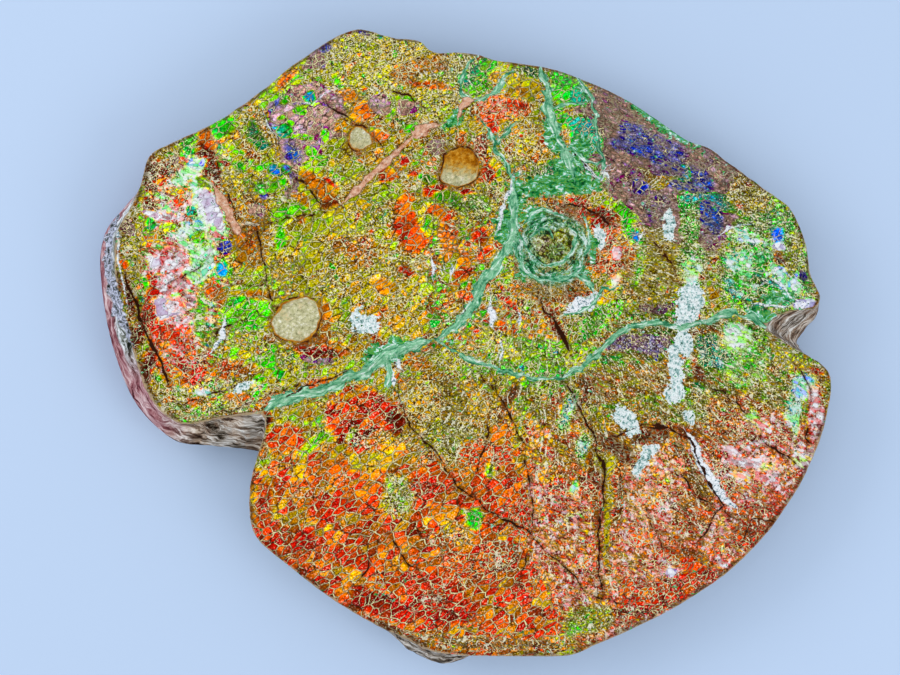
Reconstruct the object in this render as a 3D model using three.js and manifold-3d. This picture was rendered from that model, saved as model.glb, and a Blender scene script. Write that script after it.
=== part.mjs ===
// Ammolite specimen: a large involute ammonite, crushed flat and turned to iridescent nacre
// and ironstone, lying on its flank. One grown and fossilised piece, so one solid.
// Millimetres, +Z up, origin at the middle of the resting face. +X is the long way, +Y the top
// of the shell as it is shown.
import * as THREE from "three";
import Module from "manifold-3d";

const wasm = await Module();
wasm.setup();

// ---- driving sizes --------------------------------------------------------------------------
const CROWN_Z = 60; // top of the flank over the table
const EDGE_Z = 32; // where the flank meets the side wall, on the shell's regular outline
const RIM_Z = 20; // height of the widest line round the side
const UNDER_Z = 8; // height where the lower flank turns flat
const UNDER_SCALE = 0.9; // outline there, against the rim
const FOOT_SCALE = 0.74; // resting face against the rim
const FLANK_FALL = 2.4; // how late the flank falls away towards the edge
const RIM_FLARE = 1; // how far the wall leans out where no foot is given
const UMBILICUS = [48, 53]; // hub of the coil
const HUB_RADIUS = 165; // radius of the full circle the inner rings start from

// Mesh density: under 10,000 triangles with what shows from a step away
const EDGE_STEP = 12.5;
const RINGS = 25;
const RING_POWER = 1.15;
const REACH_STEPS = 90;
const REACH_FOCUS = 14; // higher follows the notches more

// Top edge of the shell, clockwise from the peak: x, y, then the foot of the side wall where
// broken stone shows and slopes outwards. Corners are stations, curves run between them.
const EDGE = [
  [-60, 175],
  [-38, 170],
  [-24, 168],
  [-17, 162],
  [4, 161],
  [19, 157],
  [43, 154],
  [66, 147],
  [88, 137],
  // back of the inner whorl
  [106, 125],
  [126, 112],
  [134, 110],
  [148, 100],
  [166, 87],
  [181, 76],
  [190, 56],
  [193, 38],
  [198, 27],
  // right notch, where the fault comes out
  [195, 21, 199, 20],
  [186, 20, 197, 15],
  [176, 18, 193, 11],
  [168, 15, 190, 7],
  [165, 10, 187, 3],
  [170, 6, 187, 1],
  [177, 2, 188, 0],
  [184, -2, 188, -1],
  // outer whorl, right and lower edge
  [192, -6],
  [200, -11],
  [204, -17],
  [203, -33],
  [198, -52],
  [186, -78],
  [163, -110],
  [132, -136],
  [98, -155],
  [75, -165],
  [61, -171],
  [36, -172],
  [6, -172],
  // wedge of matrix under the lower edge
  [-7, -171, -1, -176],
  [-20, -168, -12, -178],
  [-32, -162, -27, -172],
  // lower left edge
  [-46, -156],
  [-72, -141],
  [-97, -122],
  [-114, -107],
  [-118, -96],
  [-118, -78],
  [-114, -62],
  [-112, -56, -114, -58],
  // left notch, the other end of the fault
  [-109, -46, -114, -59],
  [-110, -37, -115, -59],
  [-119, -37, -122, -58],
  [-137, -40, -141, -56],
  [-156, -43, -159, -54],
  // venter of the body chamber, with its bare ironstone
  [-166, -37, -171, -46],
  [-175, -25, -184, -31],
  [-183, -1, -196, -1],
  [-191, 28, -202, 30],
  [-193, 50, -203, 52],
  [-191, 65, -199, 66],
  [-185, 75, -190, 77],
  [-179, 89],
  [-174, 105],
  [-160, 113],
  // upper left edge
  [-136, 124],
  [-111, 141],
  [-90, 158],
];

// Line of the fault that joins the two notches, left to right, and the drop of its lower side
const FAULT = [
  [-116, -38],
  [-54, -12],
  [-14, 5],
  [23, -14],
  [54, -17],
  [89, 10],
  [152, 16],
  [172, 4],
];
const FAULT_DROP = 3.5;
const FAULT_REACH = 55;

// Umbilicus: dished floor, inner whorls as a spiral step, knob of the first chamber
const HUB_DEPTH = 5;
const HUB_DISH = 20;
const WHORL_START = 22;
const WHORL_GROWTH = 20; // spiral radius gained in one turn
const WHORL_STEP = 2.2;
const KNOB = [43, 57, 4.5, 5]; // x, y, radius, height

// Raised and sunk stretches: x1, y1, x2, y2, half width, height
const SWELLS = [
  [8, 145, 20, 142, 12, 2.6], // oval septal lobe
  [60, 139, 58, 118, 11, 2.8], // long lobe, upper cell
  [66, 112, 72, 100, 9, 2.4], // long lobe, lower cell
  [76, -52, 120, -44, 7, 2.6], // ridge on the outer whorl
  [78, -66, 76, -138, 5, -2.4], // furrow below it
  [-186, 62, -176, -16, 5, -2.6], // furrow along the venter
  [-64, 80, -13, 118, 5, -1.8], // open seam by the middle pit
  [-142, 116, -122, 62, 6, -2.2], // seam on the upper left
  [-52, -100, 36, -150, 9, -1.6], // long crack through the lower field
  [20, -60, 38, -112, 5, -1.8],
  [-20, -60, 30, -112, 5, -1.6],
];

// Bite pits with flat stone floors: x, y, radius, depth
const PITS = [
  [-56, 115, 7, 2.4],
  [-1, 99, 10.5, 3],
  [-91, 16, 13, 3.2],
];
const PIT_SIDES = 18;
const PIT_BANDS = 8;

// ---- small helpers --------------------------------------------------------------------------
const clamp01 = (t) => Math.min(Math.max(t, 0), 1);

function smooth(a, b, t) {
  const u = clamp01((t - a) / (b - a));
  return u * u * (3 - 2 * u);
}

function mix(a, b, t) {
  return a + (b - a) * t;
}

// ---- outline --------------------------------------------------------------------------------
// One station as { top, foot }, the foot filled in by leaning the wall out a little
function station([x, y, footX, footY]) {
  const top = new THREE.Vector3(x, y, 0);
  if (footX !== undefined) return { top, foot: new THREE.Vector3(footX, footY, RIM_Z) };
  const lean = 1 + RIM_FLARE / Math.hypot(x, y);
  return { top, foot: new THREE.Vector3(x * lean, y * lean, RIM_Z) };
}

// Columns round the edge: every station, and points on the closed curve between far ones
function edgeColumns() {
  const rows = EDGE.map(station);
  const tops = new THREE.CatmullRomCurve3(rows.map((r) => r.top), true, "centripetal");
  const feet = new THREE.CatmullRomCurve3(rows.map((r) => r.foot), true, "centripetal");
  const columns = [];
  rows.forEach((row, i) => {
    const next = rows[(i + 1) % rows.length];
    const parts = Math.ceil(row.top.distanceTo(next.top) / EDGE_STEP);
    for (let k = 0; k < parts; k += 1) {
      const t = (i + k / parts) / rows.length;
      columns.push({ top: tops.getPoint(t), foot: feet.getPoint(t) });
    }
  });
  return columns;
}

const COLUMNS = edgeColumns();

// The shell's regular outline: distance from the umbilicus to the edge in each direction, as
// it was before the two notches broke out, found by averaging over a wide arc
function regularReach() {
  const polar = COLUMNS.map(({ top }) => {
    const dx = top.x - UMBILICUS[0];
    const dy = top.y - UMBILICUS[1];
    return { angle: Math.atan2(dy, dx), reach: Math.hypot(dx, dy) };
  });
  const table = [];
  for (let i = 0; i < REACH_STEPS; i += 1) {
    const angle = (2 * Math.PI * i) / REACH_STEPS;
    let sum = 0;
    let weight = 0;
    polar.forEach((p) => {
      const off = Math.cos(p.angle - angle);
      const w = Math.exp((off - 1) * REACH_FOCUS);
      sum += w * p.reach;
      weight += w;
    });
    table.push(sum / weight);
  }
  return table;
}

const REACH = regularReach();

function reachAt(angle) {
  const t = ((angle / (2 * Math.PI) + 1) % 1) * REACH_STEPS;
  const i = Math.floor(t);
  return mix(REACH[i % REACH_STEPS], REACH[(i + 1) % REACH_STEPS], t - i);
}

// ---- height of the flank --------------------------------------------------------------------
function dome(x, y) {
  const dx = x - UMBILICUS[0];
  const dy = y - UMBILICUS[1];
  const s = Math.min(Math.hypot(dx, dy) / reachAt(Math.atan2(dy, dx)), 1);
  const rise = Math.pow(1 - Math.pow(s, FLANK_FALL), 0.85);
  return mix(EDGE_Z, CROWN_Z, rise);
}

// Dish, knob and the wall of each whorl, which spirals out and dies away
function hub(x, y) {
  const dx = x - UMBILICUS[0];
  const dy = y - UMBILICUS[1];
  const r = Math.hypot(dx, dy);
  const turn = (Math.atan2(dy, dx) + Math.PI) / (2 * Math.PI);
  let z = -HUB_DEPTH * Math.exp(-Math.pow(r / HUB_DISH, 2));
  for (let lap = -1; lap <= 1; lap += 1) {
    const wall = WHORL_START + WHORL_GROWTH * (turn + lap);
    const height = WHORL_STEP * (1 - smooth(0.8, 1.7, turn + lap));
    z -= height * (1 - smooth(wall - 4, wall + 1, r));
  }
  const knob = Math.hypot(x - KNOB[0], y - KNOB[1]) / KNOB[2];
  return z + KNOB[3] * Math.exp(-knob * knob);
}

function faultY(x) {
  for (let i = 1; i < FAULT.length; i += 1) {
    const [x1, y1] = FAULT[i];
    const [x0, y0] = FAULT[i - 1];
    if (x <= x1) return mix(y0, y1, clamp01((x - x0) / (x1 - x0)));
  }
  return FAULT[FAULT.length - 1][1];
}

function fault(x, y) {
  const under = faultY(x) - y;
  if (under <= 0) return 0;
  return -FAULT_DROP * smooth(0, 3, under) * Math.exp(-Math.pow(under / FAULT_REACH, 2));
}

function swell([x1, y1, x2, y2, half, height], x, y) {
  const lx = x2 - x1;
  const ly = y2 - y1;
  const t = clamp01(((x - x1) * lx + (y - y1) * ly) / (lx * lx + ly * ly));
  const d = Math.hypot(x - x1 - lx * t, y - y1 - ly * t);
  return height * (1 - smooth(half * 0.3, half, d));
}

// Slow dents left by crushing
function dents(x, y) {
  const a = Math.sin(x / 23 + 1.3) * Math.sin(y / 27 - 0.4);
  const b = Math.sin((x + y) / 15 + 0.6) * Math.sin((x - y) / 19);
  return 0.9 * a + 0.6 * b;
}

function flankZ(x, y) {
  const relief = SWELLS.reduce((sum, row) => sum + swell(row, x, y), 0);
  return dome(x, y) + hub(x, y) + fault(x, y) + relief + dents(x, y);
}

// ---- solid ----------------------------------------------------------------------------------
// Flat positions and triangles into one closed manifold body
function solid(points, faces) {
  const mesh = new wasm.Mesh({
    numProp: 3,
    vertProperties: new Float32Array(points.flat()),
    triVerts: new Uint32Array(faces.flat()),
  });
  return new wasm.Manifold(mesh);
}

// Stacks rings of equal length from the top point down to the bottom point
function stack(top, rings, bottom) {
  const n = rings[0].length;
  const points = [top, ...rings.flat(), bottom];
  const last = points.length - 1;
  const at = (ring, i) => 1 + ring * n + (i % n);
  const faces = [];
  for (let i = 0; i < n; i += 1) {
    faces.push([0, at(0, i), at(0, i + 1)]);
    for (let r = 1; r < rings.length; r += 1) {
      faces.push([at(r - 1, i), at(r, i), at(r, i + 1)]);
      faces.push([at(r - 1, i), at(r, i + 1), at(r - 1, i + 1)]);
    }
    faces.push([last, at(rings.length - 1, i + 1), at(rings.length - 1, i)]);
  }
  return solid(points, faces);
}

// Ring inside the edge: round near the umbilicus, the shell's outline further out
function flankRing(columns, s) {
  const follow = smooth(0, 0.5, s);
  return columns.map(({ top }) => {
    const dx = top.x - UMBILICUS[0];
    const dy = top.y - UMBILICUS[1];
    const reach = Math.hypot(dx, dy);
    const r = (s * mix(HUB_RADIUS, reach, follow)) / reach;
    const x = UMBILICUS[0] + dx * r;
    const y = UMBILICUS[1] + dy * r;
    return [x, y, flankZ(x, y)];
  });
}

// Side wall between the edge and the rim, broken into uneven ledges
function wallRing(columns, t) {
  return columns.map(({ top, foot }, i) => {
    const edge = new THREE.Vector3(top.x, top.y, flankZ(top.x, top.y));
    const p = edge.lerp(foot, t);
    const width = Math.hypot(foot.x - top.x, foot.y - top.y);
    const ledge = t * (1 - t) * 4 * Math.min(width * 0.12, 1.6) * Math.sin(i * 2.4);
    const lean = 1 + ledge / Math.hypot(p.x, p.y);
    return [p.x * lean, p.y * lean, p.z + ledge];
  });
}

// Lower flank: the rim pulled in and rounded off, since nothing broke away down there
function underRing(columns, scale, z) {
  const n = columns.length;
  const reach = 4;
  return columns.map((unused, i) => {
    let x = 0;
    let y = 0;
    for (let k = -reach; k <= reach; k += 1) {
      const { foot } = columns[(i + k + n) % n];
      x += foot.x / (2 * reach + 1);
      y += foot.y / (2 * reach + 1);
    }
    return [x * scale, y * scale, z];
  });
}

function shellBody() {
  const columns = COLUMNS.slice().reverse();
  const rings = [];
  for (let i = 1; i < RINGS; i += 1) rings.push(flankRing(columns, Math.pow(i / RINGS, RING_POWER)));
  rings.push(flankRing(columns, 0.985));
  rings.push(wallRing(columns, 0));
  rings.push(wallRing(columns, 0.5));
  rings.push(wallRing(columns, 1));
  rings.push(underRing(columns, UNDER_SCALE, UNDER_Z));
  rings.push(underRing(columns, FOOT_SCALE, 0));
  const top = [UMBILICUS[0], UMBILICUS[1], flankZ(UMBILICUS[0], UMBILICUS[1])];
  return stack(top, rings, [0, 0, 0]);
}

// Shallow bowl that bites one pit out of the flank
function pitBowl([x, y, radius, depth]) {
  const z = flankZ(x, y);
  const rings = [];
  for (let b = 1; b < PIT_BANDS; b += 1) {
    const a = (Math.PI * b) / PIT_BANDS;
    const ring = [];
    for (let i = 0; i < PIT_SIDES; i += 1) {
      const t = (2 * Math.PI * i) / PIT_SIDES;
      const r = radius * Math.sin(a) * (1 + 0.07 * Math.sin(3 * t + x));
      ring.push([x + r * Math.cos(t), y + r * Math.sin(t), z + depth * Math.cos(a)]);
    }
    rings.push(ring);
  }
  return stack([x, y, z + depth], rings, [x, y, z - depth]);
}

// The pitted shell, moved so that the middle of its bounding box is over the origin
function fossil() {
  const body = PITS.reduce((rest, pit) => rest.subtract(pitBowl(pit)), shellBody());
  const { min, max } = body.boundingBox();
  return body.translate([-(min[0] + max[0]) / 2, -(min[1] + max[1]) / 2, 0]);
}

// ---- mesh and material ----------------------------------------------------------------------
function geometryOf(manifold) {
  const mesh = manifold.getMesh();
  const positions = [];
  mesh.triVerts.forEach((v) => {
    const at = v * mesh.numProp;
    positions.push(...mesh.vertProperties.slice(at, at + 3));
  });
  const geometry = new THREE.BufferGeometry();
  geometry.setAttribute("position", new THREE.Float32BufferAttribute(positions, 3));
  geometry.computeVertexNormals();
  return geometry;
}

const nacre = new THREE.MeshStandardMaterial({ color: 0x9c6a30, roughness: 0.42 });
nacre.name = "ammolite_nacre";

const group = new THREE.Group();
group.name = "ammolite_specimen";
const shell = new THREE.Mesh(geometryOf(fossil()), nacre);
shell.name = "ammonite_fossil";
group.add(shell);

export default group;
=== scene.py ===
import math

import bmesh
import bpy
import numpy as np
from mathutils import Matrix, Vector, noise


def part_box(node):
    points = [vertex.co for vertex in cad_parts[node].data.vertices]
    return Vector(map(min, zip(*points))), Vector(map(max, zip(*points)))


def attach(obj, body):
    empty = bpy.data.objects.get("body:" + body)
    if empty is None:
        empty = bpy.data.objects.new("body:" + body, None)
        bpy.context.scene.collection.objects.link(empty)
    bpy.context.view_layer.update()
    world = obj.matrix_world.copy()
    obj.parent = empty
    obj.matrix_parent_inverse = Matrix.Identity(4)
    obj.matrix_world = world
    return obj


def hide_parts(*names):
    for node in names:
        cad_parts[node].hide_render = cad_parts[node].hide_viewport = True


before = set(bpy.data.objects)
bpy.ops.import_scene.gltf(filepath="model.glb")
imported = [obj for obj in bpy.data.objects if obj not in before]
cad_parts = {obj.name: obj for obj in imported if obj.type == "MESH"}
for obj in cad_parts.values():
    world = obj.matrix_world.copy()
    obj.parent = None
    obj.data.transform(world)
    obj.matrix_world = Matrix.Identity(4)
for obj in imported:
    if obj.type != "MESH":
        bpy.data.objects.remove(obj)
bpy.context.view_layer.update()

# ==== The fossil: outline ========================================================================
# A large involute ammonite, crushed flat and turned to stone, lying on its flank. Its edge is the
# keeled venter where that survives, and broken ironstone at the two notches and on the left.
MM = 0.001
CROWN_Z = 60.0  # top of the flank over the table
EDGE_Z = 32.0  # where the flank meets the side wall
RIM_Z = 20.0  # height of the widest line round the side
FOOT_SCALE = 0.74  # resting face against the rim
UNDER_CURVE = 1.885  # brings the lower flank through 8 mm up at 0.9 of the rim
FLANK_FALL = 2.4  # how late the lens falls off towards the edge
RIM_FLARE = 1.0  # how far the wall's foot stands out where it has no foot of its own
UMBILICUS = (48.0, 53.0)
HUB_RADIUS = 165.0  # reach of a whorl, for the rings near the umbilicus
REACH_STEPS = 90  # directions in which the reach is averaged
REACH_FOCUS = 14.0  # how narrow the arc of that average is
COLUMNS = 720  # points round the edge

# Top edge clockwise from the peak: x, y, then the foot of the wall where bare stone slopes out
EDGE = [
    (-60, 175),
    (-38, 170),
    (-24, 168),
    (-17, 162),
    (4, 161),
    (19, 157),
    (43, 154),
    (66, 147),
    (88, 137),
    # back of the inner whorl
    (106, 125),
    (126, 112),
    (134, 110),
    (148, 100),
    (166, 87),
    (181, 76),
    (190, 56),
    (193, 38),
    (198, 27),
    # right notch, where the fault comes out
    (195, 21, 199, 20),
    (186, 20, 197, 15),
    (176, 18, 193, 11),
    (168, 15, 190, 7),
    (165, 10, 187, 3),
    (170, 6, 187, 1),
    (177, 2, 188, 0),
    (184, -2, 188, -1),
    # outer whorl, right and lower edge
    (192, -6),
    (200, -11),
    (204, -17),
    (203, -33),
    (198, -52),
    (186, -78),
    (163, -110),
    (132, -136),
    (98, -155),
    (75, -165),
    (61, -171),
    (36, -172),
    (6, -172),
    # wedge of matrix under the lower edge
    (-7, -171, -1, -176),
    (-20, -168, -12, -178),
    (-32, -162, -27, -172),
    # lower left edge
    (-46, -156),
    (-72, -141),
    (-97, -122),
    (-114, -107),
    (-118, -96),
    (-118, -78),
    (-114, -62),
    (-112, -56, -114, -58),
    # left notch, the other end of the fault
    (-109, -46, -114, -59),
    (-110, -37, -115, -59),
    (-119, -37, -122, -58),
    (-137, -40, -141, -56),
    (-156, -43, -159, -54),
    # venter of the body chamber, with its bare ironstone
    (-166, -37, -171, -46),
    (-175, -25, -184, -31),
    (-183, -1, -196, -1),
    (-191, 28, -202, 30),
    (-193, 50, -203, 52),
    (-191, 65, -199, 66),
    (-185, 75, -190, 77),
    (-179, 89),
    (-174, 105),
    (-160, 113),
    # upper left edge
    (-136, 124),
    (-111, 141),
    (-90, 158),
]


def smooth(a, b, t):
    """Smooth step from 0 at a to 1 at b, for numbers and arrays."""
    u = np.clip((t - a) / (b - a), 0.0, 1.0)
    return u * u * (3 - 2 * u)


def closed_curve(points, steps):
    """Centripetal curve through a closed list of points, with `steps` points for each span."""
    pts = np.array(points, float)
    t = np.linspace(0, 1, steps, endpoint=False)[:, None]
    spans = []
    for i in range(len(pts)):
        p0, p1, p2, p3 = (pts[(i + k) % len(pts)] for k in (-1, 0, 1, 2))
        a, b, c = (max(np.linalg.norm(q - p) ** 0.5, 1e-4) for p, q in ((p0, p1), (p1, p2), (p2, p3)))
        m1 = ((p1 - p0) / a - (p2 - p0) / (a + b) + (p2 - p1) / b) * b
        m2 = ((p2 - p1) / b - (p3 - p1) / (b + c) + (p3 - p2) / c) * b
        bend = 2 * p1 - 2 * p2 + m1 + m2
        spans.append(bend * t**3 + (3 * (p2 - p1) - 2 * m1 - m2) * t**2 + m1 * t + p1)
    return np.concatenate(spans)


def even_columns():
    """Top edge and foot of the wall at evenly spaced columns, each an array of x, y."""
    feet = []
    for row in EDGE:
        lean = 1 + RIM_FLARE / math.hypot(row[0], row[1])
        feet.append(row[2:] if len(row) == 4 else (row[0] * lean, row[1] * lean))
    top = closed_curve([row[:2] for row in EDGE], 24)
    foot = closed_curve(feet, 24)
    middle = (top + foot) / 2
    gaps = np.linalg.norm(np.roll(middle, -1, axis=0) - middle, axis=1)
    at = np.concatenate([[0], np.cumsum(gaps)])
    want = np.linspace(0, at[-1], COLUMNS, endpoint=False)
    closed = np.vstack([np.hstack([top, foot]), np.hstack([top[0], foot[0]])])
    even = np.stack([np.interp(want, at, column) for column in closed.T], 1)
    return even[:, :2], even[:, 2:]


edge_top, edge_foot = even_columns()


def regular_reach():
    """Distance from the umbilicus to the edge in each direction, averaged over a wide arc."""
    off = edge_top - UMBILICUS
    angle, reach = np.arctan2(off[:, 1], off[:, 0]), np.hypot(off[:, 0], off[:, 1])
    ways = np.arange(REACH_STEPS) * 2 * math.pi / REACH_STEPS
    weight = np.exp((np.cos(angle[None] - ways[:, None]) - 1) * REACH_FOCUS)
    return (weight * reach).sum(1) / weight.sum(1)


reach_table = regular_reach()

# ==== The fossil: height of the flank ============================================================
# The shell is a low lens with a dished umbilicus. A fault runs from notch to notch, and its lower
# side has dropped; septal lobes, ridges and open seams are stated as straight swells.
FAULT = [(-116, -38), (-54, -12), (-14, 5), (23, -14), (54, -17), (89, 10), (152, 16), (172, 4)]
FAULT_DROP = 3.5
FAULT_REACH = 55.0  # how far below the fault the drop dies away
HUB_DEPTH = 5.0
HUB_DISH = 20.0  # radius of the dish
WHORL_START = 22.0  # radius of the whorl's inner wall where it is nearest
WHORL_GROWTH = 20.0  # how much that radius grows in one turn
WHORL_STEP = 2.2
KNOB = (43.0, 57.0, 4.5, 5.0)  # x, y, radius, height

# x1, y1, x2, y2, half width, height
SWELLS = [
    (8, 145, 20, 142, 12, 2.6),  # oval septal lobe
    (60, 139, 58, 118, 11, 2.8),  # long lobe, upper cell
    (66, 112, 72, 100, 9, 2.4),  # long lobe, lower cell
    (76, -52, 120, -44, 7, 2.6),  # ridge on the outer whorl
    (78, -66, 76, -138, 5, -2.4),  # furrow below it
    (-186, 62, -176, -16, 5, -2.6),  # furrow along the venter
    (-64, 80, -13, 118, 5, -1.8),  # open seam by the middle pit
    (-142, 116, -122, 62, 6, -2.2),  # seam on the upper left
    (-52, -100, 36, -150, 9, -1.6),  # long crack through the lower field
    (20, -60, 38, -112, 5, -1.8),
    (-20, -60, 30, -112, 5, -1.6),
]

# Bite pits: x, y, radius, depth, and how far rust fills them from the top (-1 none, 1 all)
PITS = [(-56, 112.5, 7, 2.0, -1.0), (-2, 96.5, 10.5, 2.4, 0.1), (-91, 14, 13, 2.6, -1.0)]


def dome(x, y):
    dx, dy = x - UMBILICUS[0], y - UMBILICUS[1]
    at = (np.arctan2(dy, dx) / (2 * math.pi) % 1) * REACH_STEPS
    reach = np.interp(at, np.arange(REACH_STEPS + 1), np.append(reach_table, reach_table[0]))
    s = np.minimum(np.hypot(dx, dy) / reach, 1)
    return EDGE_Z + (CROWN_Z - EDGE_Z) * (1 - s**FLANK_FALL) ** 0.85


def hub(x, y):
    dx, dy = x - UMBILICUS[0], y - UMBILICUS[1]
    r = np.hypot(dx, dy)
    turn = (np.arctan2(dy, dx) + math.pi) / (2 * math.pi)
    z = -HUB_DEPTH * np.exp(-((r / HUB_DISH) ** 2))
    for lap in (-1, 0, 1):
        wall = WHORL_START + WHORL_GROWTH * (turn + lap)
        height = WHORL_STEP * (1 - smooth(0.8, 1.7, turn + lap))
        z -= height * (1 - smooth(wall - 3, wall + 0.5, r))
    knob = np.hypot(x - KNOB[0], y - KNOB[1]) / KNOB[2]
    return z + KNOB[3] * np.exp(-knob * knob)


def fault(x, y):
    under = np.interp(x, [p[0] for p in FAULT], [p[1] for p in FAULT]) - y
    return -FAULT_DROP * smooth(0, 2, under) * np.exp(-((np.maximum(under, 0) / FAULT_REACH) ** 2))


def swells(x, y):
    z = np.zeros_like(x)
    for x1, y1, x2, y2, half, height in SWELLS:
        lx, ly = x2 - x1, y2 - y1
        t = np.clip(((x - x1) * lx + (y - y1) * ly) / (lx * lx + ly * ly), 0, 1)
        z += height * (1 - smooth(half * 0.3, half, np.hypot(x - x1 - lx * t, y - y1 - ly * t)))
    return z


def flank_z(x, y):
    dents = 0.9 * np.sin(x / 23 + 1.3) * np.sin(y / 27 - 0.4)
    dents += 0.6 * np.sin((x + y) / 15 + 0.6) * np.sin((x - y) / 19)
    return dome(x, y) + hub(x, y) + fault(x, y) + swells(x, y) + dents


# ==== The fossil: lines on the flank =============================================================
# Dark open cracks, green calcite veins that healed older ones, pink-tan filled seams and narrow
# white glints, painted highlights. Each line is a name, its half width and its points, all in mm.
CRACKS = [
    ("upper left seam edge", 0.4, [(-110, 127), (-106, 121), (-103, 115), (-100, 109), (-97, 103)]),
    ("upper left seam low edge", 0.5, [(-99, 99), (-93, 94), (-88, 89), (-83, 83), (-78, 78), (-72, 74)]),
    ("crack under the lobe", 0.6, [(55, 109), (59, 105), (64, 100), (69, 95), (74, 90)]),
    ("edge fork", 0.6, [(190, -43), (191, -48), (189, -52), (193, -56)]),
    ("left of the strip", 0.7, [(114, -66), (121, -74), (128, -81), (135, -88), (140, -91)]),
    ("seam right line", 0.4, [(-142, 115), (-137, 104), (-133, 93), (-129, 82), (-125, 74), (-120, 65)]),
    ("left crack down to the pit", 0.6, [
        (-122, 63), (-114, 66), (-111, 55), (-109, 46), (-107, 34), (-104, 25), (-102, 19),
    ]),
    ("down from the vein", 0.5, [
        (-36, -21), (-35, -29), (-32, -35), (-30, -44), (-23, -49), (-16, -57), (-9, -68), (-3, -77),
        (5, -83), (13, -90), (20, -94), (30, -99), (39, -105), (46, -113), (53, -118), (60, -126),
        (66, -133), (75, -139), (91, -143),
    ]),
    ("middle crack", 0.6, [
        (14, -14), (18, -25), (23, -34), (29, -44), (33, -55), (35, -70), (37, -83), (38, -97),
        (39, -105),
    ]),
    ("hub crack", 0.9, [(39, 26), (44, 20), (49, 14), (53, 8), (56, 1), (59, -6)]),
    ("furrow left", 0.7, [
        (54, -18), (60, -27), (66, -38), (71, -50), (75, -63), (77, -75), (76, -92), (74, -106),
        (75, -122), (77, -139),
    ]),
    ("right ridge crack", 0.8, [
        (96, -44), (112, -44), (123, -51), (130, -63), (133, -72), (139, -81), (143, -87), (137, -96),
        (129, -109),
    ]),
    ("field crack low", 0.4, [
        (-41, -103), (-35, -112), (-30, -120), (-23, -127), (-17, -135), (-11, -141), (-6, -144),
    ]),
    ("field crack low left", 0.5, [(-47, -109), (-51, -116), (-53, -122), (-57, -130)]),
    ("short crack", 0.5, [(35, -114), (32, -122), (30, -133)]),
    ("crack above the small pit", 0.7, [(-76, 137), (-73, 131), (-68, 127), (-63, 124), (-61, 119)]),
    ("crack right of the small pit", 0.5, [(-49, 114), (-45, 110), (-42, 106)]),
    ("edge rib 1", 0.6, [(183, -10), (189, -17), (193, -25), (192, -35)]),
    ("right crack", 0.6, [(132, -21), (142, -25), (153, -34), (156, -39)]),
    ("right crack low", 0.6, [(162, -51), (172, -57), (180, -62), (186, -67)]),
    ("foot crack", 0.4, [(100, -88), (104, -99), (109, -109), (115, -115)]),
    ("whorl crack", 0.7, [(53, 75), (61, 77), (70, 73), (77, 69), (83, 64)]),
    ("venter inner crack", 1.0, [
        (-187, 41), (-185, 30), (-181, 19), (-177, 8), (-172, -2), (-167, -12), (-162, -22),
    ]),
    ("left of the glare", 0.5, [(-140, 1), (-133, 9), (-123, 16)]),
]
CROSS_CRACKS = [
    ("across to the mauve", 0.5, [(-112, 65), (-97, 69), (-80, 72), (-64, 75)]),
    ("seam in the green field", 0.5, [(-141, 32), (-124, 33), (-109, 34)]),
    ("crust crack", 0.7, [(-41, 139), (-34, 138), (-28, 136), (-23, 131), (-19, 128)]),
    ("glare crack 1", 0.5, [(-172, 30), (-164, 34), (-155, 37), (-148, 41), (-142, 45), (-137, 46)]),
    ("glare crack 2", 0.4, [(-144, 46), (-136, 54), (-126, 58)]),
    ("lip crack 1", 0.6, [(-158, -32), (-147, -29), (-135, -26), (-124, -21), (-109, -14)]),
    ("lip crack 2", 0.5, [(-141, -40), (-130, -36), (-117, -32), (-105, -27), (-89, -21)]),
    ("vein side crack", 0.7, [(-105, -32), (-89, -24), (-75, -18), (-61, -14)]),
    ("cross crack middle", 0.5, [(-6, 40), (-3, 33), (-1, 26), (2, 20), (-4, 14)]),
    ("shell edge crack", 0.6, [(7, -72), (8, -64), (13, -53), (13, -40)]),
    ("short fork", 0.4, [(6, -74), (7, -81), (10, -87)]),
    ("ridge crack left", 0.7, [(75, -51), (83, -49), (92, -44), (101, -42), (112, -45)]),
    ("lower right crack", 0.6, [(151, -115), (160, -96), (173, -97), (184, -91)]),
    ("lower right crack 2", 0.4, [(130, -84), (141, -91), (154, -96)]),
    ("hub side crack", 0.6, [(20, -29), (14, -21), (7, -14)]),
    ("plate edge right", 0.6, [(97, 62), (105, 55), (112, 46), (118, 34)]),
    ("green crack", 0.4, [(44, 16), (55, 19), (66, 17)]),
]
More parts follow.
